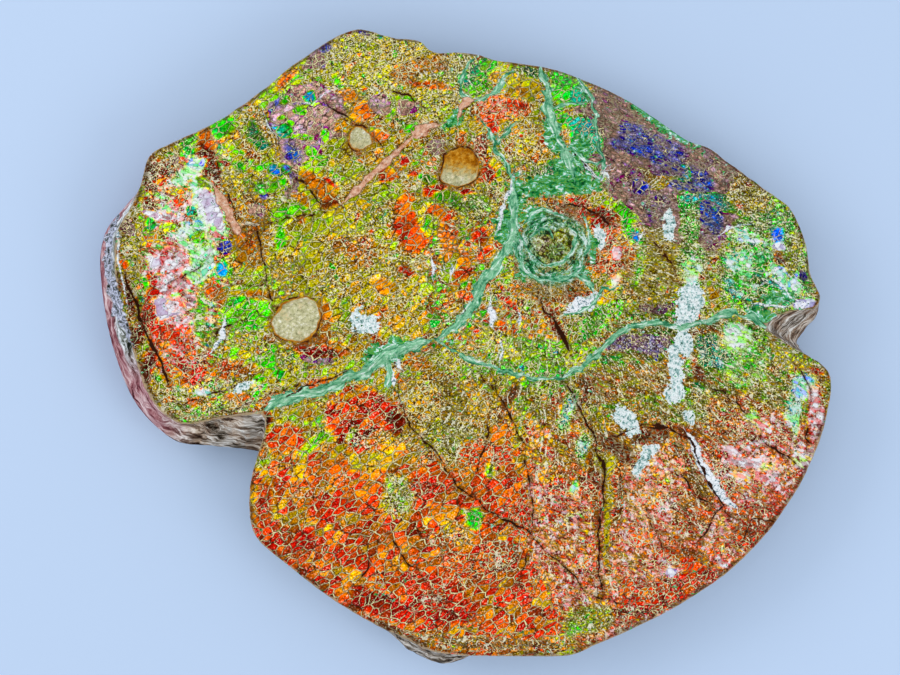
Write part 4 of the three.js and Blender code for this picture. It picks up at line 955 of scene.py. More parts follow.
def area_weight(row, x, y, rim):
    """1 inside a turned rounded patch and 0 outside, with a soft rim in mm."""
    cx, cy, half_long, half_wide, turn = row
    c, s = math.cos(math.radians(turn)), math.sin(math.radians(turn))
    u = ((x - cx) * c + (y - cy) * s) / half_long
    v = ((y - cy) * c - (x - cx) * s) / half_wide
    q = (np.abs(u) ** 2.6 + np.abs(v) ** 2.6) ** (1 / 2.6)
    soft = min(rim / min(half_long, half_wide), 0.6)
    return 1 - smooth(1 - soft, 1 + soft, q)


noise.seed_set(7)  # the same wander every time, as noise_vector otherwise starts from the clock


def wander(x, y, size, amount, seed):
    """Two arrays of slow noise in mm, to give the patches natural edges."""
    at = [noise.noise_vector(Vector((a / size, b / size, seed))) for a, b in zip(x, y)]
    at = np.array([(v.x, v.y) for v in at])
    return x + at[:, 0] * amount, y + at[:, 1] * amount


# ==== The fossil: mesh ===========================================================================
# Rings run out from the umbilicus to the edge, down the broken side wall and in under the lower
# flank to the resting face. Columns double twice on the way out, so the mesh stays even.
FLANK_RINGS = [(0.24, 34, 180), (0.50, 38, 360), (1.0, 78, 720)]  # out to, rings, columns
MEAN_REACH = 160.0  # from the umbilicus to the edge, in mm
WALL_RINGS = 9
UNDER_RINGS = 8
WALL_ROUGH = 1.5  # how far the broken layers of the wall stand out, in mm


def flank_ring(s, count):
    """Points of the ring at share s of the way from the umbilicus to the edge."""
    step = COLUMNS // count
    off = edge_top[::step] - UMBILICUS
    reach = np.hypot(off[:, 0], off[:, 1])
    follow = smooth(0, 0.5, s)
    r = s * (HUB_RADIUS + (reach - HUB_RADIUS) * follow) / reach
    return off * r[:, None] + UMBILICUS


def rough(x, y, z, size, seed):
    """Stone noise in four octaves, about -1 to 1, one value for each point."""
    at = zip(x / size, y / size, z / size)
    return np.array([noise.fractal(Vector((a, b, c + seed)), 0.9, 2.2, 4) for a, b, c in at])


points, wall_part, free_part, rim_part, rings = [], [], [], [], []


def add_ring(xy, z, wall, free, rim=0.0):
    """Adds a ring of points, with how far it is wall, free to be roughened, and in from the edge."""
    start = sum(len(p) for p in points)
    points.append(np.column_stack([xy, np.broadcast_to(z, len(xy))]))
    wall_part.append(np.full(len(xy), wall))
    free_part.append(np.full(len(xy), free))
    rim_part.append(np.full(len(xy), rim))
    rings.append(np.arange(start, start + len(xy)))


add_ring(np.array([UMBILICUS]), flank_z(*np.array([UMBILICUS]).T), 0.0, 1.0, FAR)
last = 0.0
for out_to, count, columns in FLANK_RINGS:
    for s in np.linspace(last, out_to, count + 1)[1:]:
        xy = flank_ring(s, columns)
        add_ring(xy, flank_z(xy[:, 0], xy[:, 1]), 0.0, 1.0, min(MEAN_REACH * (1 - s), FAR))
    last = out_to
edge_z = flank_z(edge_top[:, 0], edge_top[:, 1])
for k in range(1, WALL_RINGS + 1):
    t = k / WALL_RINGS
    xy = edge_top + (edge_foot - edge_top) * t
    z = edge_z + (RIM_Z - edge_z) * t
    width = np.hypot(*(edge_foot - edge_top).T)
    bare = smooth(2, 8, width)
    ledge = rough(xy[:, 0], xy[:, 1], z * 2.5, size=9.0, seed=3.0) * WALL_ROUGH
    ledge = ledge * (0.25 + bare) * math.sin(math.pi * t) ** 0.5
    out = xy / np.hypot(xy[:, 0], xy[:, 1])[:, None]
    add_ring(xy + out * ledge[:, None] * 0.8, z + ledge * 0.6 * bare, 1.0, 1.0)
# The lower flank is rounder than the wall's foot, which is averaged over 49 points
window = np.ones(49) / 49
ring_foot = [np.convolve(np.tile(line, 3), window, "same")[COLUMNS : 2 * COLUMNS] for line in edge_foot.T]
ring_foot = np.stack(ring_foot, 1)
for k in range(1, UNDER_RINGS + 1):
    u = k / UNDER_RINGS
    scale = 1 - (1 - FOOT_SCALE) * u
    xy = (edge_foot + (ring_foot - edge_foot) * min(u * 2.2, 1)) * scale
    add_ring(xy, RIM_Z * (1 - u) ** UNDER_CURVE, 1.0, 1.0 - u**3)
for scale, columns in ((0.5, 360), (0.25, 180), (0.08, 90)):
    add_ring(ring_foot[:: COLUMNS // columns] * scale, 0.0, 1.0, 0.0)
add_ring(np.zeros((1, 2)), 0.0, 1.0, 0.0)


def band(a, b):
    """Faces between two rings, which hold the same number of points, or one twice the other."""
    n, m = len(a), len(b)
    if n == 1 or m == 1:
        ring, tip = (b, a[0]) if n == 1 else (a, b[0])
        return [(tip, ring[i], ring[(i + 1) % len(ring)]) for i in range(len(ring))]
    if n == m:
        return [(a[i], b[i], b[(i + 1) % n], a[(i + 1) % n]) for i in range(n)]
    few, many = (a, b) if n < m else (b, a)
    faces = []
    for i in range(len(few)):
        here, there = few[i], few[(i + 1) % len(few)]
        left, mid, right = many[2 * i], many[2 * i + 1], many[(2 * i + 2) % len(many)]
        faces += [(here, left, mid), (here, mid, there), (there, mid, right)]
    return faces


faces = [face for a, b in zip(rings[:-1], rings[1:]) for face in band(a, b)]
at = np.concatenate(points)
wall = np.concatenate(wall_part)
free = np.concatenate(free_part)
rim_gap = np.concatenate(rim_part)  # roughly how far in from the broken edge, in mm
x, y = at[:, 0], at[:, 1]
flank = 1 - wall

lx, ly = wander(x, y, size=6.5, amount=2.2, seed=9.0)
fields = {
    "crack": line_field(CRACKS, lx, ly),
    "cross": line_field(CROSS_CRACKS, lx, ly),
    "vein": line_field(VEINS, lx, ly),
    "seam": line_field(SEAMS, lx, ly),
    "glint": line_field(GLINTS, lx, ly),
    "furrow": line_field(FURROW, lx, ly),
}
px, py = wander(x, y, size=11.0, amount=2.6, seed=1.0)
px, py = wander(px, py, size=3.5, amount=1.0, seed=5.0)

look = np.tile(BODY_LOOK, (len(x), 1))
mauve, shade = np.zeros_like(x), np.zeros_like(x)  # dull mauve nacre, and how blue it is
for row in PATCHES:
    rim = 1.0 + 0.09 * min(row[3], row[4])
    weight = area_weight(row[1:6], px, py, rim)
    aim = np.tile(row[6:], (len(x), 1))
    if row[6] < MAUVE_BELOW:
        aim[:, 0] = look[:, 0]
        shade += weight * (row[6] / MAUVE_BELOW - shade)
    mauve += weight * ((row[6] < MAUVE_BELOW) - mauve)
    look += weight[:, None] * (aim - look)
glare_patch = np.zeros_like(x)
for row in GLARE_PATCHES:
    glare_patch = np.maximum(glare_patch, area_weight(row[1:], px, py, 2.0))
calcite = np.zeros_like(x)
for row in CALCITE:
    calcite = np.maximum(calcite, area_weight(row[1:], px, py, 2.5))
pit, pit_rust = np.full(x.shape, FAR), np.zeros_like(x)
for cx, cy, radius, depth, rust in PITS:
    gap = np.hypot(px - cx, py - cy) - radius
    pit = np.minimum(pit, gap)
    rusty = smooth(0.6, -0.6, rust - (y - cy) / radius - 0.2) * (rust > -1)
    pit_rust = np.maximum(pit_rust, (gap < 2) * rusty)
    at[:, 2] -= flank * depth * (1 - smooth(-1.6, 0.5, gap))
for name, lift in (("crack", -0.45), ("cross", -0.35), ("seam", -0.3), ("vein", 0.5), ("furrow", -0.9)):
    gap, half = fields[name]
    lifted = lift * smooth(0, 0.3, half) * np.exp(-((gap / (half + 0.7)) ** 2))
    at[:, 2] += lifted * (1 if name == "furrow" else flank)
at[:, 2] += flank * 0.5 * smooth(0.3, 0.7, calcite)

mesh = bpy.data.meshes.new("ammonite")
mesh.from_pydata((at * MM).tolist(), [], [tuple(int(v) for v in face) for face in faces])
scalars = {
    "film": look[:, 0],
    "spread": look[:, 1],
    "play": look[:, 2],
    "tone": look[:, 3],
    "grain": look[:, 4],
    "speck": look[:, 5],
    "mauve": mauve,
    "shade": shade,
    "glare_patch": glare_patch,
    "calcite": calcite,
    "pit": pit,
    "pit_rust": pit_rust,
    "wall": wall,
    "rim_gap": rim_gap,
    "free": free,
}
for name, values in scalars.items():
    mesh.attributes.new(name, "FLOAT", "POINT").data.foreach_set("value", values.astype(np.float32))
for name, field in fields.items():
    rows = np.column_stack([field[0], field[1], np.zeros_like(x)]).astype(np.float32)
    mesh.attributes.new(name, "FLOAT_VECTOR", "POINT").data.foreach_set("vector", rows.ravel())
shape = bmesh.new()
shape.from_mesh(mesh)
bmesh.ops.recalc_face_normals(shape, faces=shape.faces)
shape.to_mesh(mesh)
shape.free()
mesh.shade_smooth()
fossil = bpy.data.objects.new("ammonite", mesh)
bpy.context.collection.objects.link(fossil)


# ==== The fossil: nacre and stone ================================================================
# Polished ammolite: aragonite nacre in tiles that each flash their own spectral colour, with cream
# and rusty joints. Where it is gone, matt ironstone and green calcite show. Glare, glints and
# white glare patches are painted highlights, and shade towards each tile's joints is painted too.
def linear(code):
    """sRGB hex to a linear colour with alpha."""
    parts = [int(code[i : i + 2], 16) / 255 for i in (1, 3, 5)]
    return [p / 12.92 if p <= 0.04045 else ((p + 0.055) / 1.055) ** 2.4 for p in parts] + [1.0]


def add(tree, kind, inputs=(), out=0, stops=(), **settings):
    """Adds a node with its settings, colour stops and inputs, in order or by key; gives an output."""
    name, usual = kind if isinstance(kind, tuple) else (kind, {})
    made = tree.nodes.new(name)
    for setting, value in {**usual, **settings}.items():
        setattr(made, setting, value)
    for key, value in inputs.items() if isinstance(inputs, dict) else enumerate(inputs):
        if isinstance(value, bpy.types.NodeSocket):
            tree.links.new(value, made.inputs[key])
        else:
            made.inputs[key].default_value = value
    for unused in stops[2:]:
        made.color_ramp.elements.new(0.5)
    for stop, (at, code) in zip(made.color_ramp.elements if stops else (), stops):
        stop.position, stop.color = at, linear(code)
    return made if out is None else made.outputs[out]


nacre = bpy.data.materials.new("ammolite, polished nacre over ironstone")
nacre.use_nodes = True
tree = nacre.node_tree
tree.nodes.clear()
NOISE, CELLS, RAMP = "ShaderNodeTexNoise", "ShaderNodeTexVoronoi", "ShaderNodeValToRGB"
SPAN = "ShaderNodeMapRange"  # value, from low and high, to low and high
FLAT = (CELLS, {"voronoi_dimensions": "2D"})
FLAT_GAP = (CELLS, {"voronoi_dimensions": "2D", "feature": "DISTANCE_TO_EDGE"})
LAY = ("ShaderNodeMix", {"data_type": "RGBA"})  # cover 0, colour below 6, colour above 7; gives 2
BLEND = ("ShaderNodeMix", {"data_type": "FLOAT"})  # share 0, values 2 and 3
TIMES, PLUS, MINUS, TIMES_PLUS, OVER_LIMIT, LARGER, DISTANCE = (
    ("ShaderNodeMath", {"operation": name})
    for name in ("MULTIPLY", "ADD", "SUBTRACT", "MULTIPLY_ADD", "GREATER_THAN", "MAXIMUM", "ABSOLUTE")
)
ALL_TIMES, ALL_PLUS, ALL_MINUS, LENGTH, TO_UNIT = (
    ("ShaderNodeVectorMath", {"operation": name})
    for name in ("MULTIPLY", "ADD", "SUBTRACT", "LENGTH", "NORMALIZE")
)
attribute = {name: add(tree, "ShaderNodeAttribute", out="Fac", attribute_name=name) for name in scalars}
lines = {}
for name in fields:
    vector = add(tree, "ShaderNodeAttribute", out="Vector", attribute_name=name)
    lines[name] = add(tree, "ShaderNodeSeparateXYZ", (vector,), None)
place = add(tree, "ShaderNodeTexCoord", out="Object")

# Slow drift, 3.4 mm from end to end, that bends every joint
drift = add(tree, NOISE, {"Vector": place, "Scale": 1 / (6 * MM), "Detail": 3.0, "Roughness": 0.6}, "Color")
drift = add(tree, ALL_MINUS, (drift, (0.5, 0.5, 0.5)))
bent = add(tree, ALL_PLUS, (place, add(tree, ALL_TIMES, (drift, (3.4 * MM, 3.4 * MM, 0.0)))))

# Unevenness in five real sizes, in mm, from dust to clouds, each also less its middle value. The
# finest grain of real nacre is under 0.1 mm, and the dust here is drawn coarser so that it shows
grains, swings = {}, {}
for name, size, detail, roughness in (
    ("dust", 0.9, 1.0, 0.5),
    ("grit", 1.9, 2.0, 0.65),
    ("flake", 3.2, 3.0, 0.6),
    ("patch", 7.1, 3.0, 0.55),
    ("cloud", 16.3, 3.0, 0.55),
):
    grain_inputs = {"Vector": place, "Scale": 1 / (size * MM), "Detail": detail, "Roughness": roughness}
    grains[name] = add(tree, NOISE, grain_inputs)
    swings[name] = add(tree, MINUS, (grains[name], 0.5))
dust, grit, flake, patch, cloud = grains.values()
dust_swing, grit_swing, flake_swing, patch_swing, cloud_swing = swings.values()

# Plates of shell about 13 mm across, each a little apart in colour and tone, with thin dark gaps
plates = {"Vector": bent, "Scale": 1 / (13 * MM)}
plate = add(tree, "ShaderNodeSeparateColor", (add(tree, FLAT, plates, "Color"),), None)
plate_gap = add(tree, TIMES, (add(tree, FLAT_GAP, plates, "Distance"), 13))
plate_swing = add(tree, MINUS, (plate.outputs[0], 0.5))

# Tiles in three sizes, each with a lean of its own: coarse ones of 6.3 by 3.3 mm, middling ones of
# 3.2 by 2.5 mm, and streaks of 4.2 by 1.7 mm
tiles = []
for size, stretch, turn in (
    (4.7, (1.35, 0.70, 1.0), 38.0),
    (2.9, (1.1, 0.85, 1.0), 25.0),
    (1.7, (2.5, 1.0, 1.0), -22.0),
):
    lean = {0: bent, "Rotation": (0, 0, math.radians(turn)), "Scale": stretch}
    leaning = add(tree, "ShaderNodeMapping", lean, vector_type="TEXTURE")
    flat_cells = {"Vector": leaning, "Scale": 1 / (size * MM)}
    gap = add(tree, TIMES, (add(tree, FLAT_GAP, flat_cells, "Distance"), size))
    tiles.append((add(tree, FLAT, flat_cells, "Color"), gap))
grain = add(tree, TIMES_PLUS, (cloud_swing, 1.0, attribute["grain"]))
grain = add(tree, TIMES_PLUS, (add(tree, MINUS, (plate.outputs[2], 0.5)), 0.5, grain))
picks, gaps = tiles[0]
fine = add(tree, OVER_LIMIT, (grain, 0.36))
streaked = add(tree, OVER_LIMIT, (grain, 0.74))
for use, (pick, gap) in ((fine, tiles[1]), (streaked, tiles[2])):
    picks = add(tree, LAY, {0: use, 6: picks, 7: pick}, 2)
    gaps = add(tree, BLEND, {0: use, 2: gaps, 3: gap})
chance = add(tree, "ShaderNodeSeparateColor", (picks,), None)
chance_swing = add(tree, MINUS, (chance.outputs[0], 0.5))

# Crackle: chips of 2.9 mm with cream joints, where the nacre is worn
chips = {"Vector": bent, "Scale": 1 / (2.9 * MM)}
chip = add(tree, "ShaderNodeSeparateColor", (add(tree, FLAT, chips, "Color"),), None)
chip_gap = add(tree, TIMES, (add(tree, FLAT_GAP, chips, "Distance"), 2.9))
worn = add(tree, SPAN, (add(tree, TIMES_PLUS, (attribute["speck"], 0.34, patch)), 0.62, 0.70))
rough_grain = add(tree, SPAN, (add(tree, PLUS, (grain, attribute["speck"])), 0.40, 0.60, 0.10, 1.0))
worn = add(tree, TIMES, (worn, rough_grain))

# Film thickness sets the colour of each tile, drifts inside it, and jumps in a few chips
film = add(tree, TIMES, (chance_swing, attribute["spread"]))
film = add(tree, TIMES_PLUS, (film, 2.0, attribute["film"]))
film = add(tree, TIMES_PLUS, (flake_swing, 0.10, film))
film = add(tree, TIMES_PLUS, (patch_swing, 0.20, film))
film = add(tree, TIMES_PLUS, (plate_swing, add(tree, TIMES, (attribute["spread"], 0.5)), film))
odd = add(tree, TIMES, (add(tree, SPAN, (chip.outputs[0], 0.84, 0.88)), worn))
jump = add(tree, TIMES, (add(tree, MINUS, (chip.outputs[1], 0.5)), 0.42))
film = add(tree, TIMES_PLUS, (jump, odd, film))
flash = add(tree, RAMP, (film,), stops=[
    (0.00, "#5a1c96"), (0.08, "#2422c0"), (0.16, "#1666f0"), (0.25, "#0aa8a0"), (0.34, "#0cb040"),
    (0.42, "#34cc08"), (0.50, "#90cc00"), (0.59, "#ccbc00"), (0.68, "#e89400"), (0.76, "#e05800"),
    (0.84, "#d42600"), (0.92, "#b40a00"), (1.0, "#6c0406"),
])
body = add(tree, RAMP, (film,), stops=[
    (0.00, "#80564c"), (0.07, "#765254"), (0.12, "#5e5484"), (0.18, "#446490"), (0.27, "#308068"),
    (0.37, "#549410"), (0.47, "#88a004"), (0.57, "#b0a000"), (0.66, "#b88604"), (0.74, "#b86404"),
    (0.82, "#a83804"), (0.90, "#8a1a02"), (1.0, "#540e08"),
])
is_mauve = add(tree, SPAN, (add(tree, TIMES_PLUS, (chance_swing, 0.5, attribute["mauve"])), 0.47, 0.53))
shade = add(tree, MINUS, (chance.outputs[2], 0.5))
shade = add(tree, TIMES_PLUS, (shade, 0.5, attribute["shade"]))
shade = add(tree, TIMES_PLUS, (flake_swing, 0.9, shade))
dull = add(tree, RAMP, (shade,), stops=[
    (0.0, "#ae9084"), (0.35, "#9c8490"), (0.7, "#7e7cac"), (1.0, "#5c70a8"),
])
deep = add(tree, RAMP, (shade,), stops=[
    (0.0, "#8c4c6c"), (0.4, "#64508c"), (0.7, "#44488c"), (0.88, "#3440b0"), (1.0, "#1e5ce0"),
])
body = add(tree, LAY, {0: is_mauve, 6: body, 7: dull}, 2)
flash = add(tree, LAY, {0: is_mauve, 6: flash, 7: deep}, 2)
share = add(tree, SPAN, (add(tree, MINUS, (attribute["play"], chance.outputs[1])), -0.06, 0.08))
tile = add(tree, LAY, {0: add(tree, LARGER, (share, odd)), 6: body, 7: flash}, 2)
# Brightness of each tile from its tone, its own random tone, grain and plate, and painted shade: each tile
# darker over its last 0.8 mm towards its joints
light = attribute["tone"]
for row in (
    (chance.outputs[2], 0.0, 1.0, 0.68, 1.46),
    (grit, 0.36, 0.64, 0.68, 1.32),
    (dust, 0.40, 0.60, 0.70, 1.33),
    (flake, 0.3, 0.7, 0.80, 1.20),
    (plate.outputs[1], 0.0, 1.0, 0.80, 1.20),
    (plate_gap, 0.2, 0.7, 0.62, 1.0),
    (gaps, 0.25, 0.80, 0.38, 1.16),
):
    light = add(tree, TIMES, (light, add(tree, SPAN, row)))
tile = add(tree, "ShaderNodeHueSaturation", {"Color": tile, "Value": light, "Saturation": 1.42})

# Everything else lies over the tiles, one coat on another: each is a cover from 0 to 1 and a colour
coats = []

# Joints between the tiles: cream matrix, dark and rusty in places. Real ones are 0.1 to 0.3 mm wide,
# and these are drawn 0.5 mm wide so that they show
kept = add(tree, SPAN, (attribute["speck"], 0.0, 0.2, 0.68, 1.0))
kept = add(tree, TIMES, (add(tree, SPAN, (patch, 0.38, 0.50, 0.30, 1.0)), kept))
kept = add(tree, TIMES, (kept, add(tree, SPAN, (streaked, 0.0, 1.0, 1.0, 0.30))))
smooth_plate = add(tree, SPAN, (add(tree, PLUS, (plate.outputs[0], cloud)), 0.90, 1.05, 0.7, 0.0))
kept = add(tree, TIMES, (kept, add(tree, MINUS, (1.0, add(tree, TIMES, (fine, smooth_plate))))))
joint_gap = add(tree, TIMES_PLUS, (dust_swing, 0.24, gaps))
joint_gap = add(tree, TIMES_PLUS, (flake_swing, 0.45, joint_gap))
joint_cover = add(tree, TIMES, (add(tree, SPAN, (joint_gap, 0.16, 0.25, 1.0, 0.0)), kept))
rusty_joint = add(tree, SPAN, (patch, 0.56, 0.60))
joint_colour = add(tree, LAY, {0: rusty_joint, 6: linear("#fff4b4"), 7: linear("#4c280a")}, 2)
coats.append((joint_cover, joint_colour))
crackle_gap = add(tree, TIMES_PLUS, (dust_swing, 0.35, chip_gap))
crackle_cover = add(tree, TIMES, (add(tree, SPAN, (crackle_gap, 0.15, 0.25, 1.0, 0.0)), worn))
crackle_kept = add(tree, TIMES, (add(tree, SPAN, (flake, 0.36, 0.40)), add(tree, SPAN, (flake, 0.64, 0.60))))
rusty_chip = add(tree, SPAN, (flake, 0.51, 0.54))
crackle_colour = add(tree, LAY, {0: rusty_chip, 6: linear("#fff2ac"), 7: linear("#46340a")}, 2)
coats.append((add(tree, TIMES, (crackle_cover, crackle_kept)), crackle_colour))

# Cream crumbs and dark pits, thick where the nacre is worn
crumb = add(tree, TIMES_PLUS, (dust_swing, 0.55, grit))
cream = add(tree, MINUS, (crumb, add(tree, SPAN, (attribute["speck"], 0.0, 1.0, 0.78, 0.65))))
dark = add(tree, MINUS, (add(tree, SPAN, (attribute["speck"], 0.0, 1.0, 0.30, 0.38)), crumb))
for crumbs, most, code in ((cream, 0.9, "#fff4b8"), (dark, 0.8, "#2c1c0a")):
    cover = add(tree, TIMES, (add(tree, SPAN, (crumbs, -0.003, 0.010)), most))
    coats.append((cover, linear(code)))

# Growth lines: hair-thin pale and dark streaks that run out from the umbilicus, clear of the
# coarse tiles and faint on mauve nacre
outward = add(tree, ALL_MINUS, (bent, (UMBILICUS[0] * MM, UMBILICUS[1] * MM, 0)))
outward = add(tree, ALL_TIMES, (outward, (1, 1, 0)))
reach = add(tree, LENGTH, (outward,), "Value")
around_hub = add(tree, TO_UNIT, (outward,))
around = add(tree, ALL_TIMES, (around_hub, (0.1, 0.1, 0.1)))
along = add(tree, "ShaderNodeCombineXYZ", {2: add(tree, TIMES, (reach, 0.25))})
around = add(tree, ALL_PLUS, (around, along))
growth_lines = {"Vector": around, "Scale": 1 / (1.5 * MM), "Detail": 2.0, "Roughness": 0.6, "Distortion": 0.6}
growth = add(tree, TIMES_PLUS, (dust_swing, 0.2, add(tree, NOISE, growth_lines)))
not_mauve = add(tree, SPAN, (attribute["mauve"], 0.3, 0.8, 1.0, 0.3))
open_to_it = add(tree, TIMES, (add(tree, SPAN, (grain, 0.30, 0.50)), not_mauve))
for low, high, most, code in ((0.61, 0.64, 0.75, "#fffbdc"), (0.37, 0.34, 0.55, "#3c240c")):
    streak = add(tree, SPAN, (growth, low, high, 0.0, most))
    coats.append((add(tree, TIMES, (streak, open_to_it)), linear(code)))

# Sparks, white specks painted in as glints (painted highlights), and dark pinholes, drawn half a
# millimetre across so that they show
fleck = add(tree, SPAN, (attribute["speck"], 0.0, 0.8, 0.0, 0.05))
bare = add(tree, SPAN, (attribute["speck"], 0.05, 0.5, 0.1, 0.9))
painted_glint_speck = add(tree, SPAN, (add(tree, PLUS, (dust, fleck)), 0.665, 0.68))
pinhole = add(tree, SPAN, (add(tree, MINUS, (dust, fleck)), 0.335, 0.32))
coats.append((add(tree, TIMES, (painted_glint_speck, bare)), linear("#fff8dc")))
coats.append((add(tree, TIMES, (pinhole, bare)), linear("#301c08")))

# Painted glare, a painted highlight: where the tone runs high the tiles go pale, with grey cracks
glare_whiteness = add(tree, SPAN, (chance.outputs[2], 0.1, 0.8, 0.08, 0.80))
glare_whiteness = add(tree, PLUS, (glare_whiteness, add(tree, SPAN, (flake, 0.40, 0.60, -0.14, 0.16))))
glare_whiteness = add(tree, PLUS, (glare_whiteness, add(tree, SPAN, (attribute["tone"], 1.4, 2.0, -0.08, 0.30))))
painted_glare_colour = add(tree, "ShaderNodeHueSaturation", {"Color": flash, "Value": 1.9, "Saturation": 1.0})
pale_joint = add(tree, SPAN, (joint_gap, 0.20, 0.10, 0.0, 0.4))
pale_joint = add(tree, TIMES, (pale_joint, add(tree, SPAN, (patch, 0.44, 0.54))))
pale_pit = add(tree, SPAN, (crumb, 0.32, 0.29))
for cover, code in ((glare_whiteness, "#fdfcff"), (pale_joint, "#6c5458"), (pale_pit, "#54404c")):
    painted_glare_colour = add(tree, LAY, {0: cover, 6: painted_glare_colour, 7: linear(code)}, 2)
glare = add(tree, TIMES_PLUS, (flake_swing, 1.6, attribute["tone"]))
coats.append((add(tree, SPAN, (glare, 1.42, 1.62)), painted_glare_colour))


def line_cover(name, extra, blur, ragged=1.1):
    """1 on a line, widened by extra mm, with an edge blurred over blur mm and torn by noise."""
    distance = add(tree, DISTANCE, (lines[name].outputs[0],))
    distance = add(tree, TIMES_PLUS, (flake_swing, ragged * 1.6, distance))
    distance = add(tree, TIMES_PLUS, (grit_swing, ragged, distance))
    half_width = lines[name].outputs[1]
    width = add(tree, TIMES, (half_width, add(tree, SPAN, (patch, 0.36, 0.62, 1.35, 0.55))))
    cover = add(tree, SPAN, (add(tree, MINUS, (width, distance)), -extra - blur, -extra + blur))
    return add(tree, TIMES, (cover, add(tree, SPAN, (half_width, 0.05, 0.15))))


def area_cover(name, ragged):
    """1 in an area, its edge torn by noise."""
    torn = add(tree, TIMES_PLUS, (flake_swing, ragged, attribute[name]))
    torn = add(tree, TIMES_PLUS, (grit_swing, ragged * 0.5, torn))
    return add(tree, SPAN, (torn, 0.46, 0.54))


# Darker nacre in patches just inside the broken edge, and a pale line on the edge itself
edge = add(tree, TIMES_PLUS, (flake_swing, 3.0, attribute["rim_gap"]))
darker_by_edge = add(tree, SPAN, (edge, 2.6, 1.2, 0.0, 0.75))
darker_by_edge = add(tree, TIMES, (darker_by_edge, add(tree, SPAN, (cloud, 0.44, 0.52, 0.25, 1.0))))
coats.append((darker_by_edge, linear("#4c2812")))
coats.append((add(tree, SPAN, (edge, 0.5, 0.2, 0.0, 0.8)), linear("#c0a684")))

# Rust in the nacre beside cracks and seams
halo = add(tree, LARGER, (line_cover("crack", 1.1, 0.8, 3.0), line_cover("seam", 0.8, 0.6, 2.0)))
halo = add(tree, LARGER, (halo, line_cover("cross", 0.6, 0.6, 2.0)))
coats.append((add(tree, TIMES, (halo, 0.4)), linear("#6a3410")))

# Painted highlight: white patches of glare, matt and chalky, with grey-green grit
glare_patch_cover = area_cover("glare_patch", 2.2)
glare_patch_colour = add(tree, RAMP, (add(tree, TIMES_PLUS, (flake_swing, 0.6, crumb)),), stops=[
    (0.25, "#406c60"), (0.34, "#84aca8"), (0.44, "#b4d2ce"), (0.55, "#f6fcfb"),
])
coats.append((glare_patch_cover, glare_patch_colour))

# Green calcite: fibrous, from deep green to pale aqua, in fibres 1.9 mm apart
stretch = add(tree, "ShaderNodeMapping", {0: bent, "Scale": (0.5, 1.0, 1.0), "Rotation": (0, 0, 0.5)})
fibres = {"Vector": stretch, "Scale": 1 / (1.9 * MM), "Detail": 3.0, "Roughness": 0.65, "Distortion": 0.9}
fibre = add(tree, NOISE, fibres)
mottle_colour = add(tree, RAMP, (add(tree, TIMES_PLUS, (patch_swing, 0.5, fibre)),), stops=[
    (0.31, "#08401e"), (0.38, "#187434"), (0.45, "#289c50"), (0.50, "#70a41c"), (0.55, "#3cb488"),
    (0.61, "#9ce0c0"), (0.67, "#ffffff"),
])
coats.append((area_cover("calcite", 2.6), mottle_colour))

# Umbilicus: rings of the inner whorls 2.1 mm apart, green calcite outside and olive shell within
ringed = add(tree, ALL_TIMES, (around_hub, (0.006, 0.006, 0.0)))
ringed = add(tree, ALL_PLUS, (ringed, add(tree, "ShaderNodeCombineXYZ", {2: reach})))
shell_rings = {"Vector": ringed, "Scale": 1 / (2.1 * MM), "Detail": 3.0, "Roughness": 0.65, "Distortion": 0.5}
ring = add(tree, TIMES_PLUS, (dust_swing, 0.2, add(tree, NOISE, shell_rings)))
green_ring = add(tree, RAMP, (ring,), stops=[
    (0.37, "#08301c"), (0.44, "#187040"), (0.50, "#3c9c64"), (0.56, "#78bc9c"), (0.62, "#e0f4ec"),
])
olive_ring = add(tree, RAMP, (ring,), stops=[
    (0.37, "#281808"), (0.44, "#5c4c10"), (0.50, "#8c8410"), (0.57, "#a0ac24"), (0.64, "#f4f4d4"),
])
outside = add(tree, SPAN, (add(tree, TIMES_PLUS, (patch_swing, 0.02, reach)), 0.009, 0.013))
ring_colour = add(tree, LAY, {0: outside, 6: olive_ring, 7: green_ring}, 2)
ring_line = add(tree, DISTANCE, (add(tree, MINUS, (ring, 0.5)),))
ring_line = add(tree, SPAN, (ring_line, 0.01, 0.05, 0.3, 0.95))
near_hub = add(tree, SPAN, (reach, 0.021, 0.0185))
coats.append((add(tree, TIMES, (near_hub, ring_line)), ring_colour))

# Calcite veins: threads that run along the vein, paler in its core
along = add(tree, "ShaderNodeMapping", {0: place, "Scale": (0.22, 0.22, 0.0)})
across = add(tree, "ShaderNodeCombineXYZ", {2: add(tree, TIMES, (lines["vein"].outputs[0], MM))})
along = add(tree, ALL_PLUS, (along, across))
threads = {"Vector": along, "Scale": 1 / (1.3 * MM), "Detail": 2.0, "Roughness": 0.6, "Distortion": 0.5}
thread = add(tree, TIMES_PLUS, (add(tree, MINUS, (fibre, 0.5)), 0.45, add(tree, NOISE, threads)))
core_colour = add(tree, RAMP, (thread,), stops=[
    (0.32, "#48946c"), (0.42, "#74ba8c"), (0.52, "#94d0a4"), (0.60, "#b4e4c0"), (0.70, "#f4fff8"),
])
side_colour = add(tree, RAMP, (thread,), stops=[
    (0.36, "#186840"), (0.46, "#44a070"), (0.56, "#84caa0"), (0.66, "#f4fffa"),
])
vein_colour = add(tree, LAY, {0: line_cover("vein", -0.8, 0.4), 6: side_colour, 7: core_colour}, 2)
coats.append((line_cover("vein", 0.1, 0.25, 1.8), vein_colour))

